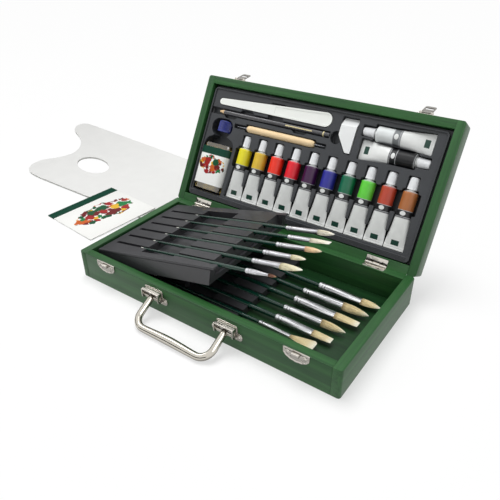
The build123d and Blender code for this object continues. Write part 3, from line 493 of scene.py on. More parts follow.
for side, x in zip(("left", "right"), HINGE_X):
    rings = [(-0.35, 0.5), (-0.2, 0.95), (0, 1.0), (28, 1.0), (28.2, 0.95), (28.35, 0.5)]
    pin = moved(drawn_out(20, rings), along_x, shift(x - LEAF_HALF, HINGE_Y, RIM))
    finished(pin, f"hinge_pin_{side}", "hinge_pins", nickel)

# Screws
# Small nickel-plated slotted screws: countersunk and flush in the hinge leaves, round
# headed in the catch plates, the latch plates and the handle's mounts.


def slotted(head, top):
    """A screw head facing +Y with its slot cut."""
    screw = drawn_out(24, head)
    return cut(screw, block((-3, top - 0.45, -0.28), (3, top + 1, 0.28)))


def screw_set(master, places):
    """One copy of a screw at each place, its slot stopped at an angle of its own."""
    copies = []
    for i, place in enumerate(places):
        copy = master.copy()
        copy.data = master.data.copy()
        bpy.context.scene.collection.objects.link(copy)
        copies.append(moved(copy, turn(25 + 47 * i, "Y"), place))
    return copies


domed = slotted([(-6, 0.9), (-0.1, 1.0), (0, 1.9), (0.2, 2.0), (0.55, 1.8), (0.9, 1.25),
                 (1.08, 0.5)], 1.08)
flush = slotted([(-6, 0.9), (-0.9, 1.1), (-0.06, 2.05), (0.0, 1.95)], 0.0)
facing_front = turn(180, "Z")
facing_up, facing_down = turn(90, "X"), turn(-90, "X")
HANDLE_X = (132.5, 241.5)
MOUNT_SCREW, PLATE_T = 16.8, 1.2
CATCH_Z, MOUNT_Z, LATCH_Z, LEAF_SCREW_Y = 32.6, 20.0, 54.0, 184.9
front_screws = [shift(x + s, -PLATE_T, CATCH_Z) @ facing_front for x in HINGE_X for s in (-10, 10)]
front_screws += [shift(x + s * MOUNT_SCREW, -PLATE_T - 0.5, MOUNT_Z) @ facing_front
                 for x in HANDLE_X for s in (-1, 1)]
rim_screws = [shift(x + s, LEAF_SCREW_Y, RIM - 0.03) @ facing_up
              for x in HINGE_X for s in (-9, 9)]
parts = screw_set(domed, front_screws) + screw_set(flush, rim_screws)
finished(joined(parts), "base_screw_heads", "base_screws", nickel)
latch_screws = [shift(x + s, -PLATE_T, LATCH_Z) @ facing_front for x in HINGE_X for s in (-7, 7)]
lid_rim_screws = [shift(x + s, LEAF_SCREW_Y, RIM + 0.03) @ facing_down
                  for x in HINGE_X for s in (-9, 9)]
parts = screw_set(domed, latch_screws) + screw_set(flush, lid_rim_screws)
finished(joined(parts), "lid_screw_heads", "lid_screws", nickel, in_open_lid)
for master in (domed, flush):
    bpy.data.objects.remove(master)

# Latches
# Stamped nickel-plated steel. A half-moon catch plate with a nub is screwed to the base,
# and a plate on the lid carries the hasp whose window drops over the nub.


def stamped(outline, thick):
    """A plate cut to an outline in X and Z, its back on Y 0 and its face towards -Y."""
    bpy.ops.object.select_all(action="DESELECT")
    bpy.ops.mesh.primitive_circle_add(vertices=len(outline), radius=mm, fill_type="NGON")
    plate = bpy.context.object
    for corner, (x, z) in zip(plate.data.vertices, outline):
        corner.co = Vector((x, 0, z)) * mm
    bpy.ops.object.mode_set(mode="EDIT")
    bpy.ops.mesh.select_all(action="SELECT")
    bpy.ops.mesh.extrude_region_move(TRANSFORM_OT_translate={"value": (0, -thick * mm, 0)})
    return plate


def pressed(steps):
    """Press the selected face in or out in steps of inset and depth, then close the plate."""
    for inset, out in steps:
        bpy.ops.mesh.inset(thickness=inset * mm, depth=0)
        bpy.ops.transform.translate(value=(0, -out * mm, 0))
    faced_outward()


# The hasps get a darker copy of the nickel: painted shade for hasps turned away from the light.
shaded_nickel = plated("shaded_nickel", (150, 147, 141), 0.2)
BOW_STEPS, SCALLOPS, LOBE = 56, 7, 0.55
bow = []
for i in range(BOW_STEPS + 1):
    angle = pi * i / BOW_STEPS
    reach = 1 + LOBE / 9 * abs(sin(SCALLOPS * angle))
    bow.append((-15.2 * cos(angle) * (1 + (reach - 1) * 0.4), CATCH_Z - 8.6 * sin(angle) * reach))
catch_outline = [(15.4, 33.4), (15.4, 37.8), (-15.4, 37.8), (-15.4, 33.4)] + bow
for side, x in zip(("left", "right"), HINGE_X):
    plate = stamped(catch_outline, PLATE_T)
    pressed([(0.9, 0), (0.35, -0.45), (1.1, 0), (0.5, 0.4)])
    parts = [eased(plate, 0.12)]
    for offset in (-10, 10):
        boss = drawn_out(28, [(-1.0, 3.2), (0.1, 3.1), (0.25, 2.6)])
        parts.append(moved(boss, facing_front, shift(offset, -PLATE_T + 0.25, CATCH_Z)))
    nub = block((-4.5, -PLATE_T - 3.4, 32.5), (4.5, -0.4, 36.5))
    nub = rounded(nub, 1.2, lambda m: abs(m.z - 34.5) < 1 and m.y < -3)
    parts.append(eased(nub, 0.35))
    for offset in (-4.5, 4.5):
        bead = drawn_out(20, [(0, 0.9), (0.6, 0.8), (0.9, 0.3)])
        parts.append(moved(bead, facing_front, shift(offset * 1.5, -PLATE_T + 0.3, 28.2)))
    finished(moved(joined(parts), shift(x, 0, 0)), "catch_plate_" + side, "catch_plates", nickel)

PIN_Y, PIN_Z, PIN_HALF = -3.0, 46.0, 8.6
LATCH_HALF, TONGUE_HALF, FOLDED_BACK = 11, 7, -145
for side, x in zip(("left", "right"), HINGE_X):
    plate = block((x - LATCH_HALF, -PLATE_T, 42.5), (x + LATCH_HALF, 0, 58.5))
    plate = rounded(plate, 2.5, lambda m: abs(m.y + PLATE_T / 2) < 0.2
                    and abs(abs(m.x - x) - LATCH_HALF) < 0.2)
    opened(plate)
    pick(plate, "FACE", lambda m: m.y < -PLATE_T + 0.01)
    pressed([(1.0, 0), (0.4, 0.4)])
    parts = [eased(plate, 0.12)]
    for a, b in ((x - PIN_HALF, x - 5.4), (x + 5.4, x + PIN_HALF)):
        barrel = drawn_out(24, [(0, 1.3), (0.2, 1.5), (3.0, 1.5), (3.2, 1.3)])
        parts.append(moved(barrel, along_x, shift(a, PIN_Y, PIN_Z)))
        parts.append(eased(block((a, PIN_Y, 44.9), (b, -0.3, 47.1)), 0.1))
    finished(joined(parts), "latch_plate_" + side, "lid_latch_plates", nickel, in_open_lid)
    rings = [(-0.3, 0.6), (-0.1, 0.85), (17.3, 0.85), (17.5, 0.6)]
    pin = moved(drawn_out(20, rings), along_x, shift(x - PIN_HALF, PIN_Y, PIN_Z))
    finished(pin, "latch_pin_" + side, "latch_pins", nickel, in_open_lid)

    tongue = block((-TONGUE_HALF, -0.5, -19.0), (TONGUE_HALF, 0.5, -4.0))
    tongue = rounded(tongue, 3.0, lambda m: abs(m.y) < 0.1 and m.z < -18
                     and abs(abs(m.x) - TONGUE_HALF) < 0.1)
    cut(tongue, block((-5.2, -2, -13.8), (5.2, 2, -9.2)))
    parts = [eased(tongue, 0.2), eased(block((-5.1, -0.5, -4.2), (5.1, 0.5, -0.5)), 0.1)]
    barrel = drawn_out(24, [(0, 1.3), (0.2, 1.5), (10.0, 1.5), (10.2, 1.3)])
    parts.append(moved(barrel, along_x, shift(-5.1, 0, 0)))
    roll = drawn_out(24, [(0, 1.1), (0.4, 1.5), (7.6, 1.5), (8.0, 1.1)])
    parts.append(moved(roll, along_x, shift(-4.0, -1.0, -18.4)))
    hasp = moved(joined(parts), turn(FOLDED_BACK, "X"), shift(x, PIN_Y, PIN_Z))
    finished(hasp, "hasp_" + side, "latch_hasp_" + side, shaded_nickel, in_open_lid)

# Handle
# A bail of polished nickel-plated steel, thicker at the grip, that swings on pins in two
# stamped mounts. Each mount has two screwed ears and a bridge folded out of its plate.
REACH, BEND, HALF_SPAN = 37.5, 15.0, 54.5
LEG_R, ELBOW_R, GRIP_R, DROOP = 3.9, 4.5, 5.3, 28.8
PIVOT = (187.0, -5.0, 23.0)
EAR_HALF, SADDLE_HALF, BRIDGE_HALF, BRIDGE_OUT = 21, 14.3, 13.3, -8.6

bright = plated("bright_nickel", (216, 211, 200), 0.09)
leg_l, grip_half = REACH - BEND, HALF_SPAN - BEND
run = [(HALF_SPAN, LEG_R * sin(radians(a)), LEG_R * cos(radians(a))) for a in (84, 65, 45, 22)]
run += [(HALF_SPAN, -leg_l * s, LEG_R + (ELBOW_R - LEG_R) * s) for s in (0, 0.5, 1)]
run += [(grip_half + BEND * cos(radians(a)), -leg_l - BEND * sin(radians(a)), ELBOW_R)
        for a in range(9, 90, 9)]
for s in (1, 0.85, 0.7, 0.55, 0.4, 0.25, 0.1, 0):
    swell = (GRIP_R - ELBOW_R) * (1 - s * s) ** 2
    run.append((grip_half * s, swell - REACH, ELBOW_R + swell))
run += [(-x, y, r) for x, y, r in reversed(run[:-1])]
line = bpy.data.curves.new("bail", "CURVE")
line.dimensions = "3D"
line.bevel_depth = mm
line.bevel_resolution = 10
line.use_fill_caps = True
spline = line.splines.new("POLY")
spline.points.add(len(run) - 1)
for point, (x, y, r) in zip(spline.points, run):
    point.co = (x * mm, y * mm, 0, 1)
    point.radius = r
bail = bpy.data.objects.new("bail", line)
bpy.context.scene.collection.objects.link(bail)
only(bail)
bpy.ops.object.convert(target="MESH")
bpy.ops.object.mode_set(mode="EDIT")
bpy.ops.mesh.select_all(action="SELECT")
bpy.ops.mesh.remove_doubles(threshold=1e-6)
faced_outward()
parts = [bpy.context.object]
for x in (-HALF_SPAN, HALF_SPAN):
    rings = [(-13.6, 1.0), (-13.3, 1.6), (13.3, 1.6), (13.6, 1.0)]
    parts.append(moved(drawn_out(24, rings), along_x, shift(x, 0, 0)))
bail = moved(joined(parts), turn(DROOP, "X"), shift(*PIVOT))
finished(bail, "handle_grip", "handle_bail", bright, smooth_deg=50)

for side, x in zip(("left", "right"), HANDLE_X):
    ears = block((-EAR_HALF, -PLATE_T, 15.2), (EAR_HALF, 0, 24.8))
    ears = rounded(ears, 4.7, lambda m: abs(m.y + PLATE_T / 2) < 0.1
                   and abs(abs(m.x) - EAR_HALF) < 0.1, 9)
    opened(ears)
    pick(ears, "FACE", lambda m: m.y < -PLATE_T + 0.01)
    pressed([(0.8, 0), (0.4, -0.35)])
    saddle = block((-SADDLE_HALF, -PLATE_T, 18.4), (SADDLE_HALF, 0, 34.0))
    saddle = rounded(saddle, 3.0, lambda m: abs(m.y + PLATE_T / 2) < 0.1
                     and abs(abs(m.x) - SADDLE_HALF) < 0.1)
    bridge = block((-BRIDGE_HALF, BRIDGE_OUT, 31.0), (BRIDGE_HALF, -0.4, 32.4))
    parts = [eased(ears, 0.15), eased(saddle, 0.3), eased(bridge, 0.55, 3)]
    for a, b in ((-BRIDGE_HALF, -11.9), (11.9, BRIDGE_HALF)):
        cheek = block((a, BRIDGE_OUT, 18.6), (b, -0.4, 32.0))
        cheek = rounded(cheek, 4.0, lambda m: m.y < -8.4 and m.z < 18.8)
        parts.append(eased(cheek, 0.3))
    for offset in (-MOUNT_SCREW, MOUNT_SCREW):
        cup = drawn_out(28, [(-0.6, 3.7), (0.2, 3.6), (0.5, 3.1), (0.5, 2.4)])
        parts.append(moved(cup, facing_front, shift(offset, -PLATE_T, MOUNT_Z)))
    for z in (-7.0, -4.5, -2.0):
        rib = drawn_out(16, [(-11.0, 0.15), (-10.2, 0.42), (10.2, 0.42), (11.0, 0.15)])
        parts.append(moved(rib, along_x, shift(0, z, 32.35)))
    finished(moved(joined(parts), shift(x, 0, 0)), "handle_mount_" + side, "handle_mounts", nickel)

# Trays
# Three sheets of grey-black polystyrene drawn over moulds: one fills the lid, one lies on
# the base's floor, and one rests on that and rises at its right end as the lid opens.


def sheet_plastic(name, colour, dull, sheen):
    """Moulded polystyrene with a fine even grain and faint drawing marks."""
    plastic, tree, shader = new_finish(name)
    shader.inputs["Specular IOR Level"].default_value = sheen
    where = node(tree, "TexCoord").outputs["Object"]
    cloud = noise(tree, where, 30.0, 4.0)
    tint = blended(tree, cloud, srgb(*[c * 0.88 for c in colour]), srgb(*[c * 1.1 for c in colour]))
    tree.links.new(tint, shader.inputs["Base Color"])
    grain = noise(tree, where, 1400.0, 2.0)
    relieved(tree, shader, grain, 0.2, 0.0001)
    hazed(tree, shader, cloud, dull * 0.85, dull * 1.2)
    return plastic


def refinished(name, material):
    """A CAD piece whose shape is right, given its finish."""
    piece = frame["nodes"][name]
    piece.data.materials.clear()
    piece.data.materials.append(material)
    return piece


tray_black = sheet_plastic("tray_black", (49, 49, 52), 0.36, 0.6)
# The lid tray is the same black plastic as the brush trays, made lighter: painted light for the
# light its open face catches.
tray_lit_grey = sheet_plastic("tray_lit_grey", (60, 62, 65), 0.36, 0.34)
refinished("lower_brush_tray", tray_black)
refinished("upper_brush_tray", tray_black)
refinished("lid_tray", tray_lit_grey)

# Brushes
# Twelve long-handled bristle brushes: a turned handle lacquered dark green and dipped
# white at its tip, a crimped aluminium ferrule, and a head of hog or soft hair.
UPPER_TRAY_AT, TRAY_TILT, SLOT_SKEW = (15.6, 0, 13.5), -12.9, -3.9
on_raised_tray = (from_corner @ shift(*UPPER_TRAY_AT) @ turn(TRAY_TILT, "Y")
                  @ shift(-UPPER_TRAY_AT[0], 0, -UPPER_TRAY_AT[2]))
LOWER_AXIS_Z = 10.1


def chart(piece):
    """Map a lying piece from above: its place across and along, in tenths of a metre."""
    layer = piece.data.uv_layers.active or piece.data.uv_layers.new(name="UVMap")
    corners = np.empty(len(piece.data.loops), dtype=np.int32)
    piece.data.loops.foreach_get("vertex_index", corners)
    places = np.empty(len(piece.data.vertices) * 3)
    piece.data.vertices.foreach_get("co", places)
    layer.data.foreach_set("uv", (places.reshape(-1, 3)[corners, :2] * 10).ravel())
    return piece


def charted(tree):
    """The map's two directions, across and along."""
    flat = node(tree, "TexCoord").outputs["UV"]
    split = node(tree, "SeparateXYZ", {0: flat})
    return flat, split.outputs[0], split.outputs[1]


def ramp(tree, value, stops, how="LINEAR"):
    """Colours along a value, each stop a place and a colour."""
    made = node(tree, "ValToRGB", {0: value})
    made.color_ramp.interpolation = how
    elements = made.color_ramp.elements
    while len(elements) < len(stops):
        elements.new(0.5)
    for element, (place, colour) in zip(elements, stops):
        element.position = place
        element.color = (*colour, 1)
    return made.outputs["Color"]


def lacquer(name, colour, tip_colour, tip):
    """Deep glossy lacquer, with the end of the handle dipped in another colour."""
    paint, tree, shader = new_finish(name)
    along = charted(tree)[2]
    dip = worked(tree, "LESS_THAN", along, tip)
    where = node(tree, "TexCoord").outputs["Object"]
    cloud = noise(tree, where, 60.0, 3.0)
    body = blended(tree, cloud, [c * 0.7 for c in colour], [c * 1.3 for c in colour])
    tree.links.new(blended(tree, dip, body, tip_colour), shader.inputs["Base Color"])
    hazed(tree, shader, cloud, 0.12, 0.26)
    evenly(shader, {"Specular IOR Level": 0.3, "Coat Weight": 0.7, "Coat Roughness": 0.08})
    return paint


def aluminium(name, shade, dull):
    """Spun aluminium, brushed fine along its length, with painted shade where it faces down."""
    metal, tree, shader = new_finish(name)
    shader.inputs["Metallic"].default_value = 1.0
    flat = charted(tree)[0]
    brushed = node(tree, "Mapping", {"Vector": flat, "Scale": (120.0, 2.5, 1.0)})
    lines = noise(tree, brushed.outputs[0], 1.0, 4.0)
    streaks = node(tree, "MapRange", {"Value": lines, "From Min": 0.36, "From Max": 0.6})
    tone = blended(tree, streaks.outputs[0], srgb(*[c * 0.6 for c in shade]), srgb(*shade))
    tree.links.new(painted_underside_shade(tree, tone, 0.7), shader.inputs["Base Color"])
    hazed(tree, shader, lines, dull * 0.7, dull * 1.4)
    return metal


def bristle(name, root, body, tip, start, end):
    """Hair that runs from a darker root to a paler tip, each strand a shade of its own."""
    hair, tree, shader = new_finish(name)
    flat, _, along = charted(tree)
    share = node(tree, "MapRange", {"Value": along, "From Min": start / 100, "From Max": end / 100})
    stops = [(0.0, srgb(*root)), (0.18, srgb(*body)), (0.7, srgb(*body)), (1.0, srgb(*tip))]
    tone = ramp(tree, share.outputs[0], stops)
    drawn = node(tree, "Mapping", {"Vector": flat, "Scale": (330.0, 9.0, 1.0)})
    strand = noise(tree, drawn.outputs[0], 1.0, 3.0)
    depth = node(tree, "MapRange", {"Value": strand, "From Min": 0.3, "From Max": 0.7,
                                    "To Min": 0.76, "To Max": 1.14})
    tree.links.new(toned(tree, tone, depth.outputs[0]), shader.inputs["Base Color"])
    relieved(tree, shader, strand, 0.6, 0.0003)
    evenly(shader, {"Roughness": 0.5, "Sheen Weight": 0.2})
    return hair


def strands(count, rings, thick, seed):
    """Loose three-sided hairs that follow a head's rings, each ending a little early."""
    draw = np.random.default_rng(seed)
    y0 = rings[0][0]
    places, faces = [], []
    for _ in range(count):
        angle, out, reach = draw.uniform(0, tau), draw.uniform(0.93, 1.05), draw.uniform(0.88, 1.01)
        drift = draw.normal(0, 0.05)
        first = len(places)
        for k, (y, wide, deep) in enumerate(rings):
            share = k / (len(rings) - 1)
            around = angle + drift * share
            radius = thick * (1 - 0.7 * share)
            for side in range(3):
                lean = around + tau * side / 3
                places.append((out * wide * cos(around) + radius * cos(lean), y0 + (y - y0) * reach,
                               out * deep * sin(around) + radius * sin(lean)))
            if k:
                a, b = first + 3 * (k - 1), first + 3 * k
                faces += [(a + s, b + s, b + (s + 1) % 3, a + (s + 1) % 3) for s in range(3)]
        last = first + 3 * (len(rings) - 1)
        faces += [(first, first + 1, first + 2), (last + 2, last + 1, last)]
    mesh = bpy.data.meshes.new("strands")
    mesh.from_pydata([Vector(p) * mm for p in places], [], faces)
    hairs = bpy.data.objects.new("strands", mesh)
    bpy.context.scene.collection.objects.link(hairs)
    opened(hairs)
    faced_outward()
    return hairs


HANDLE_SHARES = ((0.05, 0.55), (0.10, 0.59), (0.18, 0.65), (0.26, 0.71), (0.35, 0.78), (0.45, 0.86),
                 (0.55, 0.935), (0.64, 0.98), (0.72, 1.0), (0.80, 0.985), (0.87, 0.95),
                 (0.94, 0.885))
HEAD_RINGS = {
    "round": ((-0.03, 0.94, 0.94), (0, 0.98, 0.98), (0.15, 1, 1), (0.32, 0.985, 0.985),
              (0.5, 0.91, 0.91), (0.67, 0.77, 0.77), (0.81, 0.57, 0.57), (0.92, 0.33, 0.33),
              (1, 0.08, 0.08)),
    "filbert": ((-0.03, 0.94, 0.92), (0, 0.98, 0.96), (0.16, 1, 0.98), (0.34, 0.98, 0.92),
                (0.53, 0.89, 0.8), (0.72, 0.72, 0.58), (0.87, 0.48, 0.34), (0.96, 0.29, 0.2),
                (1, 0.12, 0.1)),
    "flat": ((-0.03, 0.92, 0.88), (0, 0.96, 0.92), (0.3, 0.97, 0.8), (0.6, 0.95, 0.55),
             (0.85, 0.92, 0.3), (0.97, 0.9, 0.2), (1, 0.86, 0.14)),
    "fan": ((-0.02, 0.26, 0.5), (0, 0.28, 0.5), (0.25, 0.46, 0.42), (0.5, 0.65, 0.34),
            (0.75, 0.84, 0.26), (0.9, 0.96, 0.2), (0.96, 0.85, 0.17), (1, 0.6, 0.14)),
}
GRIP_STEP = 0.95
green_lacquer = lacquer("green_lacquer", srgb(6, 50, 38), srgb(222, 222, 212), 0.055)
matt_ferrule = aluminium("matt_ferrule", (238, 238, 242), 0.36)
bright_ferrule = aluminium("bright_ferrule", (238, 239, 242), 0.28)


def brush(name, shape, belly, neck, place, metal, colours, seed):
    """Handle, ferrule and head of one brush, drawn along +Y from the handle's tip."""
    (handle_end, ferrule_end, hair_end), head, wide, thick = shape
    rings = [(0, 0.12), (0.15, 0.55), (0.4, 0.92), (0.8, 1.15), (1.3, 1.28)]
    rings += [(handle_end * s, belly * r) for s, r in HANDLE_SHARES] + [(handle_end, neck)]
    handle = chart(drawn_out(28, rings))
    finished(handle, name + "_handle", name, green_lacquer, place)

    mouth = (2.3, 1.2) if head == "fan" else (wide / 2, thick / 2)
    grip = max(neck + GRIP_STEP, 0.96 * mouth[0]) if metal == bright_ferrule else neck + GRIP_STEP
    sleeve = [(handle_end - 0.2, neck + 0.6), (handle_end, grip - 0.12), (handle_end + 0.3, grip)]
    for crimp in (3.0, 6.6):
        sleeve += [(handle_end + crimp + a, grip - b) for a, b in
                   ((0, 0), (0.35, 0.28), (0.9, 0.34), (1.45, 0.28), (1.8, 0))]
    start, finish = handle_end + 9.5, ferrule_end - 0.7
    for s in (0, 0.15, 0.35, 0.55, 0.75, 0.9, 1):
        eased_in = s * s * (3 - 2 * s)
        sleeve.append((start + (finish - start) * s, grip + (mouth[0] - grip) * eased_in,
                       grip + (mouth[1] - grip) * eased_in))
    sleeve += [(ferrule_end - 0.35, mouth[0] + 0.12, mouth[1] + 0.12), (ferrule_end, *mouth)]
    finished(chart(drawn_out(36, sleeve)), name + "_ferrule", name, metal, place, 50)

    half_wide, half_thick = wide / 2, (1.2 if head == "fan" else thick / 2)
    length = hair_end - ferrule_end
    rings = [(ferrule_end + length * s, half_wide * w, half_thick * t)
             for s, w, t in HEAD_RINGS[head]]
    core = drawn_out(36, [(y, w * 0.96, t * 0.96) for y, w, t in rings])
    hairs = strands(150 if wide > 4 else 60, rings, 0.11 if wide > 4 else 0.07, seed)
    tuft = chart(joined([core, hairs]))
    hair = bristle(name + "_hair", *colours, ferrule_end, hair_end)
    finished(tuft, name + "_head", name, hair, place, 60)


hog = ((186, 164, 118), (238, 222, 176), (252, 248, 230))
cream = ((196, 186, 148), (240, 234, 204), (252, 250, 236))
white_hair = ((206, 200, 180), (246, 240, 222), (255, 252, 244))
tan = ((222, 176, 138), (240, 212, 170), (250, 236, 208))
sable = ((66, 38, 28), (116, 72, 50), (190, 148, 108))
UPPER_BRUSHES = {
    "round_brush_brown": (0, 60, ((180, 210, 220), "round", 3.4, 3.4), sable),
    "filbert_brush_wide": (1, 61, ((172, 211, 238), "filbert", 8.4, 6.2), cream),
    "filbert_brush_cream": (2, 62, ((171, 210, 228), "filbert", 6.4, 5.0), cream),
    "round_brush_tan": (3, 63, ((174, 214, 235), "round", 5.8, 5.8), tan),
    "flat_brush_white": (4, 60, ((180, 211, 237), "flat", 7.2, 4.8), white_hair),
    "round_brush_white": (5, 61, ((162, 208, 230), "round", 6.0, 6.0), white_hair),
}
UPPER_AXIS = (15.6 + 3.0, 19.4 + 21.2, 13.5 + 22.0 + 0.15 - 2.0)
for name, (row, tip, shape, colours) in UPPER_BRUSHES.items():
    x, y, z = UPPER_AXIS
    at = on_raised_tray @ shift(x + tip, y + 21.3 * row, z) @ turn(SLOT_SKEW, "Z") @ along_x
    brush(name, shape, 2.45, 2.0, at, matt_ferrule, colours, 10 + row)

LOWER_BRUSHES = {
    "fan_brush": (88, 43, ((167, 208, 239), "fan", 17.0, 5.0)),
    "flat_brush_small": (98, 62, ((168, 216, 240), "flat", 10.0, 5.4)),
    "round_brush_medium": (98, 83, ((166, 216, 246), "round", 8.6, 8.6)),
    "flat_brush_medium": (98, 104, ((168, 222, 252), "flat", 10.8, 5.8)),
    "round_brush_large": (98, 125, ((168, 222, 255), "round", 9.4, 9.4)),
    "filbert_brush_large": (108, 146, ((169, 226, 250), "filbert", 10.8, 6.0)),
}
for i, (name, (x, y, shape)) in enumerate(LOWER_BRUSHES.items()):
    neck = 2.0 if name == "fan_brush" else 2.65
    at = from_corner @ shift(x, y, LOWER_AXIS_Z) @ along_x
    brush(name, shape, neck + 0.7, neck, at, bright_ferrule, hog, 20 + i)

# Paint tubes
# Soft aluminium tubes enamelled white, with a band of the paint's colour below the
# shoulder, rolled flat and folded at the foot, each with a ribbed white screw cap.


def between(tree, value, low, high):
    """One where a value lies between two limits, and nought elsewhere."""
    return worked(tree, "COMPARE", value, (low + high) / 2, (high - low) / 2)


def oval(tree, flat, centre, half):
    """One inside an upright oval on the map, and nought outside."""
    away = node(tree, "VectorMath", {0: flat, 1: (*centre, 0)}, operation="SUBTRACT")
    scaled = node(tree, "VectorMath", {0: away.outputs[0], 1: (1 / half[0], 1 / half[1], 0)},
                  operation="MULTIPLY")
    reach = node(tree, "VectorMath", {0: scaled.outputs[0]}, operation="LENGTH")
    return worked(tree, "LESS_THAN", reach.outputs["Value"], 1.0)


def both(tree, a, b):
    return worked(tree, "MINIMUM", a, b)


def tube_enamel(name, stops):
    """Enamel printed in bands along the tube, with a plain block near its foot."""
    enamel, tree, shader = new_finish(name)
    flat, across, along = charted(tree)
    colour = ramp(tree, along, stops, "CONSTANT")
    foot = both(tree, between(tree, across, -0.05, 0.05), between(tree, along, 0.80, 0.865))
    colour = blended(tree, foot, colour, foot_green)
    spot = oval(tree, flat, (0, 0.457), (0.036, 0.027))
    colour = blended(tree, spot, colour, srgb(232, 234, 232))
    where = node(tree, "TexCoord").outputs["Object"]
    dents = noise(tree, where, 90.0, 2.0)
    worn = node(tree, "MapRange", {"Value": dents, "To Min": 0.88, "To Max": 1.06})
    tree.links.new(toned(tree, colour, worn.outputs[0]), shader.inputs["Base Color"])
    relieved(tree, shader, dents, 0.35, 0.0012)
    hazed(tree, shader, dents, 0.24, 0.4)
    return enamel


def moulded(name, colour, dull):
    """Moulded plastic, with a faint cloudiness and a fine skin."""
    plastic, tree, shader = new_finish(name)
    where = node(tree, "TexCoord").outputs["Object"]
    cloud = noise(tree, where, 45.0, 3.0)
    tone = blended(tree, cloud, [c * 0.93 for c in colour], colour)
    tree.links.new(tone, shader.inputs["Base Color"])
    hazed(tree, shader, cloud, dull * 0.85, dull * 1.2)
    skin = noise(tree, where, 900.0, 2.0)
    relieved(tree, shader, skin, 0.1, 0.0001)
    return plastic


def ribbed_cap(sides, rings, rib_from, rib_to, depth):
    """A cap drawn along +Y with every other line of its skirt drawn in to make ribs."""
    cap = drawn_out(sides, rings)
    opened(cap)
    bpy.ops.mesh.select_mode(type="VERT")
    bpy.ops.mesh.select_all(action="DESELECT")
    mesh = bmesh.from_edit_mesh(cap.data)
    for corner in mesh.verts:
        line = round(np.arctan2(corner.co.z, corner.co.x) / tau * sides)
        along = corner.co.y / mm
        corner.select_set(line % 2 == 0 and rib_from <= along <= rib_to)
    bmesh.update_edit_mesh(cap.data)
    bpy.ops.transform.resize(value=(depth, 1, depth), center_override=(0, 0, 0))
    bpy.ops.object.mode_set(mode="OBJECT")
    return cap


def tube_body(body_r, crimp_half):
    """A tube from its neck: shoulder, round body, then flattening to its folded foot."""
    rings = [(15.0, 4.0), (16.7, 4.2), (16.9, 5.4), (18.3, body_r - 1.2), (18.9, body_r - 0.35),
             (19.6, body_r), (21.0, body_r), (32.0, body_r), (44.0, body_r)]
    for s in (0.12, 0.26, 0.4, 0.55, 0.7, 0.82, 0.92):
        rings.append((44 + 43.6 * s, body_r + (crimp_half - body_r) * s ** 0.9,
                      body_r + (0.95 - body_r) * s ** 1.12))
    rings += [(87.6, crimp_half, 0.95), (87.8, crimp_half, 1.3), (89.1, crimp_half, 1.3),
              (89.3, crimp_half, 1.1), (89.6, crimp_half, 1.1), (89.8, crimp_half, 1.3),
              (91.7, crimp_half, 1.3), (92.0, crimp_half - 0.2, 1.1)]
    return drawn_out(48, rings)


cap_white = moulded("cap_white", srgb(236, 238, 240), 0.34)
CAP_RINGS = [(0.7, 3.6), (0.3, 3.9), (0.0, 4.3), (0.0, 4.9), (0.35, 5.4), (1.0, 5.7), (1.3, 5.75),
             (8.0, 6.1), (14.2, 6.4), (14.5, 6.5), (15.5, 6.5)]
enamel_white, enamel_black = srgb(234, 236, 234), srgb(28, 29, 31)
silver, foot_green = srgb(176, 178, 180), srgb(16, 62, 50)
SMALL_TUBES = {
    "lemon_yellow": (238, 226, 36), "golden_yellow": (222, 186, 56), "vermilion": (246, 52, 30),
    "crimson": (232, 24, 44), "violet": (62, 14, 66), "ultramarine": (44, 46, 150),
    "viridian": (12, 104, 72), "light_green": (96, 208, 62), "red_brown": (182, 66, 44),
    "brown": (170, 104, 56),
}
TUBE_FIRST_X, TUBE_PITCH, TUBE_TIP_Y, TUBE_Z = 91.5, 27.7, 75.0, 49.0


def enamel_bands(paint, patch):
    """The printed bands from the shoulder to the foot, by their place along the tube."""
    return [(0.0, enamel_white), (0.172, paint), (0.176, silver), (0.184, paint), (0.412, silver),
            (0.420, patch), (0.494, silver), (0.502, patch), (0.508, silver), (0.516, enamel_white)]


def tube(label, name, paint, patch, body_r, crimp_half, place):
    enamel = tube_enamel("enamel_" + label, enamel_bands(paint, patch))
    body = chart(tube_body(body_r, crimp_half))
    finished(body, name + "_body", name, enamel, place, 50)
    cap = ribbed_cap(56, CAP_RINGS, 1.2, 14.3, 0.94)
    finished(cap, name + "_cap", name, cap_white, place, 25)


for i, (label, paint) in enumerate(SMALL_TUBES.items()):
    at = in_open_lid @ shift(TUBE_FIRST_X + TUBE_PITCH * i, TUBE_TIP_Y, TUBE_Z)
    tube(label, "tube_" + label, srgb(*paint), enamel_black, 9.6, 13.4, at)
white_at = in_open_lid @ shift(258.5, 32.8, 49.6) @ turn(-90, "Z")
tube("white_large", "tube_white_large", srgb(222, 226, 226), srgb(120, 124, 126), 10.2, 13.0,
     white_at)
black_at = in_open_lid @ shift(353.0, 56.2, 49.6) @ turn(90, "Z")
tube("black_large", "tube_black_large", srgb(24, 25, 27), enamel_black, 10.2, 13.0, black_at)

# Oil bottle
# A flat clear glass bottle of linseed oil with rounded shoulders and a paper label. Its
# ribbed blue plastic cap screws over the neck.
BOTTLE_X, BOTTLE_Z = 45.5, 48.9


def clear(name, colour, ior, dull, passing):
    """Something clear, with the slight waviness that blown glass and oil both show."""
    body, tree, shader = new_finish(name)
    evenly(shader, {"Base Color": (*colour, 1), "Transmission Weight": passing, "IOR": ior,
                    "Specular IOR Level": 1.0})
    where = node(tree, "TexCoord").outputs["Object"]
    waves = noise(tree, where, 35.0, 1.0)
    hazed(tree, shader, waves, dull * 0.5, dull * 1.5)
    relieved(tree, shader, waves, 0.1, 0.001)
    evenly(shader, {"Coat Weight": 1.0, "Coat IOR": 1.9, "Coat Roughness": 0.05})
    return body
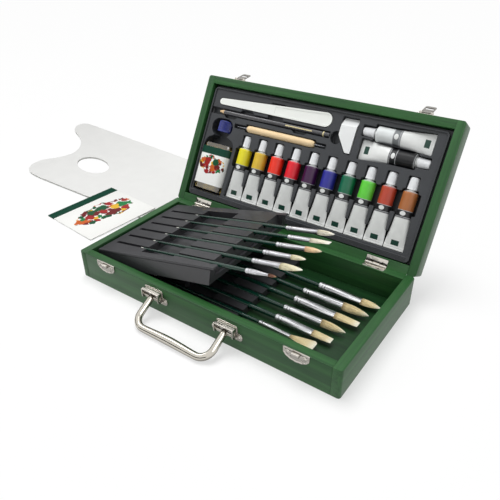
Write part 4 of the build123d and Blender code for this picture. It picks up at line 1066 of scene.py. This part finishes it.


# The glass lets only three quarters of the light through and is whitish for the rest: a painted
# sheen standing in for the glass's reflections.
refinished("oil_bottle", clear("bottle_glass", srgb(232, 238, 230), 1.5, 0.03, 0.76))
refinished("oil_fill", clear("linseed_oil", srgb(186, 160, 84), 1.47, 0.04, 0.92))
cap_blue = moulded("cap_blue", srgb(52, 60, 132), 0.26)
CAP_FROM, CAP_TO = 60.8, 77.0
rings = [(CAP_FROM + 0.5, 7.6), (CAP_FROM + 0.5, 8.4), (CAP_FROM, 8.8), (CAP_FROM + 0.2, 9.6),
         (CAP_FROM + 1.0, 10.2), (CAP_FROM + 1.6, 10.3), (CAP_FROM + 8.0, 10.35),
         (CAP_TO - 2.2, 10.4), (CAP_TO - 1.8, 10.4), (CAP_TO - 0.2, 10.4), (CAP_TO, 10.1)]
cap = ribbed_cap(72, rings, CAP_FROM + 1.5, CAP_TO - 2.1, 0.93)
bottle_place = in_open_lid @ shift(BOTTLE_X, 0, BOTTLE_Z)
finished(cap, "bottle_screw_cap", "bottle_cap", cap_blue, bottle_place, 25)

LABEL_FROM, LABEL_TO, LABEL_HALF, LABEL_DEEP = 102.0, 157.5, 25.6, 12.85


def daubs(tree, flat, size, seed):
    """Loose ragged daubs of paint: where they lie, and each one's own colour."""
    wobble = node(tree, "TexNoise", {"Vector": flat, "Scale": 1.2 / size, "Detail": 6.0,
                                     "Roughness": 0.6})
    pushed = node(tree, "VectorMath", {0: wobble.outputs["Color"], "Scale": size * 1.5},
                  operation="SCALE")
    moved_to = node(tree, "VectorMath", {0: flat, 1: pushed.outputs[0]}, operation="ADD")
    lifted = node(tree, "VectorMath", {0: moved_to.outputs[0], 1: (seed, seed * 0.37, 0)},
                  operation="ADD")
    cells = node(tree, "TexVoronoi", {"Vector": lifted.outputs[0], "Scale": 1 / size,
                                      "Randomness": 0.55}, voronoi_dimensions="2D")
    inside = worked(tree, "LESS_THAN", cells.outputs["Distance"], 0.46)
    pickings = node(tree, "SeparateXYZ", {0: cells.outputs["Color"]})
    colour = ramp(tree, pickings.outputs[0], [
        (0.0, srgb(104, 22, 24)), (0.22, srgb(156, 30, 30)), (0.4, srgb(196, 92, 34)),
        (0.52, srgb(226, 178, 44)), (0.68, srgb(20, 120, 62)), (0.84, srgb(12, 78, 46))],
        "CONSTANT")
    return inside, colour


def printed(name, paper, dark, band, patch, daub, gloss, band_runs="across"):
    """Coated paper with a plain dark band and a patch of paint daubs in a generic layout."""
    sheet, tree, shader = new_finish(name)
    flat, across, along = charted(tree)
    colour = paper
    ragged = node(tree, "TexNoise", {"Vector": flat, "Scale": 0.8 / daub, "Detail": 6.0})
    pushed = node(tree, "VectorMath", {0: ragged.outputs["Color"], 1: (0.5, 0.5, 0.5)},
                  operation="SUBTRACT")
    spread = node(tree, "VectorMath", {0: pushed.outputs[0], 1: (daub * 2.6,) * 3, 2: flat},
                  operation="MULTIPLY_ADD")
    region = oval(tree, spread.outputs[0], *patch)
    for scale, seed in ((0.7, 7.7), (1.0, 3.1)):
        inside, tone = daubs(tree, flat, daub * scale, seed)
        colour = blended(tree, both(tree, inside, region), colour, tone)
    measured = along if band_runs == "across" else across
    colour = blended(tree, between(tree, measured, *band), colour, dark)
    where = node(tree, "TexCoord").outputs["Object"]
    fibre = noise(tree, where, 700.0, 3.0)
    worn = node(tree, "MapRange", {"Value": fibre, "To Min": 0.93, "To Max": 1.03})
    tree.links.new(toned(tree, colour, worn.outputs[0]), shader.inputs["Base Color"])
    relieved(tree, shader, fibre, 0.08, 0.0001)
    hazed(tree, shader, fibre, gloss * 0.9, gloss * 1.2)
    shader.inputs["Specular IOR Level"].default_value = 0.18
    return sheet


wrap = block((-LABEL_HALF, LABEL_FROM, -LABEL_DEEP), (LABEL_HALF, LABEL_TO, LABEL_DEEP))
label_middle = (LABEL_FROM + LABEL_TO) / 2
wrap = rounded(wrap, 9.6, lambda m: abs(m.y - label_middle) < 1 and abs(m.x) > 20, 10)
opened(wrap)
pick(wrap, "FACE", lambda m: m.y < LABEL_FROM + 0.01 or m.y > LABEL_TO - 0.01)
bpy.ops.mesh.delete(type="FACE")
bpy.ops.object.mode_set(mode="OBJECT")
paper_skin = wrap.modifiers.new("paper", "SOLIDIFY")
paper_skin.thickness = 0.08 * mm
paper_skin.offset = 1
bpy.ops.object.modifier_apply(modifier="paper")
paper_white, band_green = srgb(240, 241, 238), srgb(10, 62, 46)
bottle_print = printed("bottle_print", paper_white, band_green, (1.02, 1.13),
                       ((0.0, 1.285), (0.22, 0.13)), 0.1, 0.3)
finished(chart(wrap), "bottle_label", "oil_bottle", bottle_print, bottle_place, 40)

# Tools in the lid
# A moulded palette knife, a black pencil sharpened to its lead, a turned wooden handle
# with a steel needle in each end, and a slab eraser, each pushed into its own pocket.
knife_white = moulded("knife_white", srgb(238, 241, 236), 0.3)
refinished("palette_knife", knife_white)


def pencil_paint():
    """Lead, cut wood with a scalloped edge, then black lacquer with a plain foil bar."""
    paint, tree, shader = new_finish("pencil_paint")
    flat, across, along = charted(tree)
    scallop = worked(tree, "SINE", worked(tree, "MULTIPLY", across, 260.0))
    edge = worked(tree, "MULTIPLY_ADD", scallop, 0.006, along)
    drawn = node(tree, "Mapping", {"Vector": flat, "Scale": (160.0, 8.0, 1.0)})
    grain = noise(tree, drawn.outputs[0], 1.0, 3.0)
    wood = blended(tree, grain, srgb(196, 158, 108), srgb(236, 208, 164))
    body = blended(tree, grain, srgb(34, 34, 38), srgb(56, 55, 60))
    cut_wood = worked(tree, "LESS_THAN", edge, 0.125)
    lead = worked(tree, "LESS_THAN", along, 0.042)
    colour = blended(tree, cut_wood, body, wood)
    colour = blended(tree, lead, colour, srgb(48, 48, 52))
    foil = both(tree, between(tree, along, 1.20, 1.62), between(tree, across, -0.008, 0.008))
    ring = between(tree, along, 1.78, 1.80)
    colour = blended(tree, foil, colour, srgb(214, 200, 150))
    colour = blended(tree, ring, colour, srgb(214, 200, 150))
    tree.links.new(colour, shader.inputs["Base Color"])
    hazed(tree, shader, cut_wood, 0.2, 0.7)
    evenly(shader, {"Specular IOR Level": 0.8, "Coat Weight": 0.7, "Coat Roughness": 0.1})
    return paint


rings = [(0, 0.25), (0.5, 0.55), (4.2, 1.45), (8.5, 2.5), (12.6, 3.5), (13.4, 3.6), (60, 3.6),
         (187.2, 3.6), (187.8, 3.3), (188.0, 2.8)]
pencil_place = in_open_lid @ shift(27.0, 48.0, 46.0) @ along_x
finished(chart(drawn_out(36, rings)), "drawing_pencil", "pencil", pencil_paint(), pencil_place, 40)


def bare_wood(name):
    """Sanded pale hardwood, its grain along the turned handle."""
    wood, tree, shader = new_finish(name)
    flat = charted(tree)[0]
    drawn = node(tree, "Mapping", {"Vector": flat, "Scale": (90.0, 5.0, 1.0)})
    grain = noise(tree, drawn.outputs[0], 1.0, 5.0, Distortion=0.5)
    tone = blended(tree, grain, srgb(220, 186, 136), srgb(248, 226, 186))
    tree.links.new(tone, shader.inputs["Base Color"])
    hazed(tree, shader, grain, 0.36, 0.55)
    relieved(tree, shader, grain, 0.15, 0.0002)
    return wood


needle_place = in_open_lid @ shift(66.0, 64.2, 46.1) @ along_x
rings = [(20, 2.3), (20.2, 3.0), (21.2, 3.9), (23.0, 4.6), (25.5, 4.95), (28, 5.0), (75, 5.05),
         (123, 5.0), (125.5, 4.95), (128.0, 4.6), (129.8, 3.9), (130.8, 3.0), (131, 2.3)]
finished(chart(drawn_out(36, rings)), "needle_handle", "needle_tool", bare_wood("needle_wood"),
         needle_place, 50)
# The needle points' steel is darkened: painted shade for points lying in their dark pocket.
steel = plated("shaded_needle_steel", (146, 148, 154), 0.24)
rings = [(0, 0.12), (0.6, 0.35), (6, 0.85), (12, 1.15), (20, 1.2), (22, 1.2)]
left = drawn_out(20, rings)
rings = [(129, 1.2), (131, 1.2), (139, 1.15), (143, 0.8), (146.4, 0.35), (147, 0.12)]
right = drawn_out(20, rings)
finished(joined([left, right]), "needle_points", "needle_tool", steel, needle_place, 50)
refinished("eraser", moulded("eraser_white", srgb(234, 236, 236), 0.6))

# Mixing palette
# A thin white board with a thumb hole and a bite for the fingers, its faces glossy for
# mixing paint on and its edge cut square.
board_white = moulded("palette_white", srgb(226, 226, 224), 0.36)
tree = board_white.node_tree
shader = tree.nodes["Principled BSDF"]
# Faces that are not level get a grey: painted shade on the board's upright edge.
facing = node(tree, "SeparateXYZ", {0: node(tree, "NewGeometry").outputs["Normal"]})
level = worked(tree, "GREATER_THAN", worked(tree, "ABSOLUTE", facing.outputs[2]), 0.5)
face_white, edge_shade_grey = shader.inputs["Base Color"].links[0].from_socket, srgb(168, 168, 164)
tree.links.new(blended(tree, level, edge_shade_grey, face_white), shader.inputs["Base Color"])
refinished("mixing_palette", board_white)

# Booklet
# A leaflet of coated paper folded at its far edge: a printed cover round two plain
# sheets, lying half on the palette.
booklet_place = from_corner @ shift(-113.5, 131.5, 3.35) @ turn(-6, "Z") @ turn(2, "X")
cover_print = printed("cover_print", srgb(236, 236, 233), band_green, (-0.60, -0.41),
                      ((0.02, 0.03), (0.25, 0.53)), 0.16, 0.34, "along")
inner_paper = moulded("inner_paper", srgb(232, 232, 230), 0.6)
BOOKLET_W, BOOKLET_L = 117.0, 125.0
for label, low, high, short, paper in (("cover_under", -0.8, -0.62, 0.0, cover_print),
                                       ("sheet_under", -0.52, -0.06, 0.9, inner_paper),
                                       ("sheet_over", 0.06, 0.5, 0.7, inner_paper),
                                       ("cover_over", 0.6, 0.8, 0.0, cover_print)):
    sheet = block((-BOOKLET_W / 2 + short / 2, -BOOKLET_L / 2 + short, low),
                  (BOOKLET_W / 2 - short / 2, BOOKLET_L / 2 - 0.9, high))
    finished(chart(eased(sheet, 0.05)), "booklet_" + label, "booklet", paper, booklet_place)
fold = drawn_out(24, [(0, 0.8), (BOOKLET_W, 0.8)])
cut(fold, block((-3, -1, -3), (0, BOOKLET_W + 1, 3)))
fold = moved(fold, turn(90, "Z"), shift(BOOKLET_W / 2, BOOKLET_L / 2 - 0.95, 0))
finished(chart(fold), "booklet_fold", "booklet", cover_print, booklet_place)
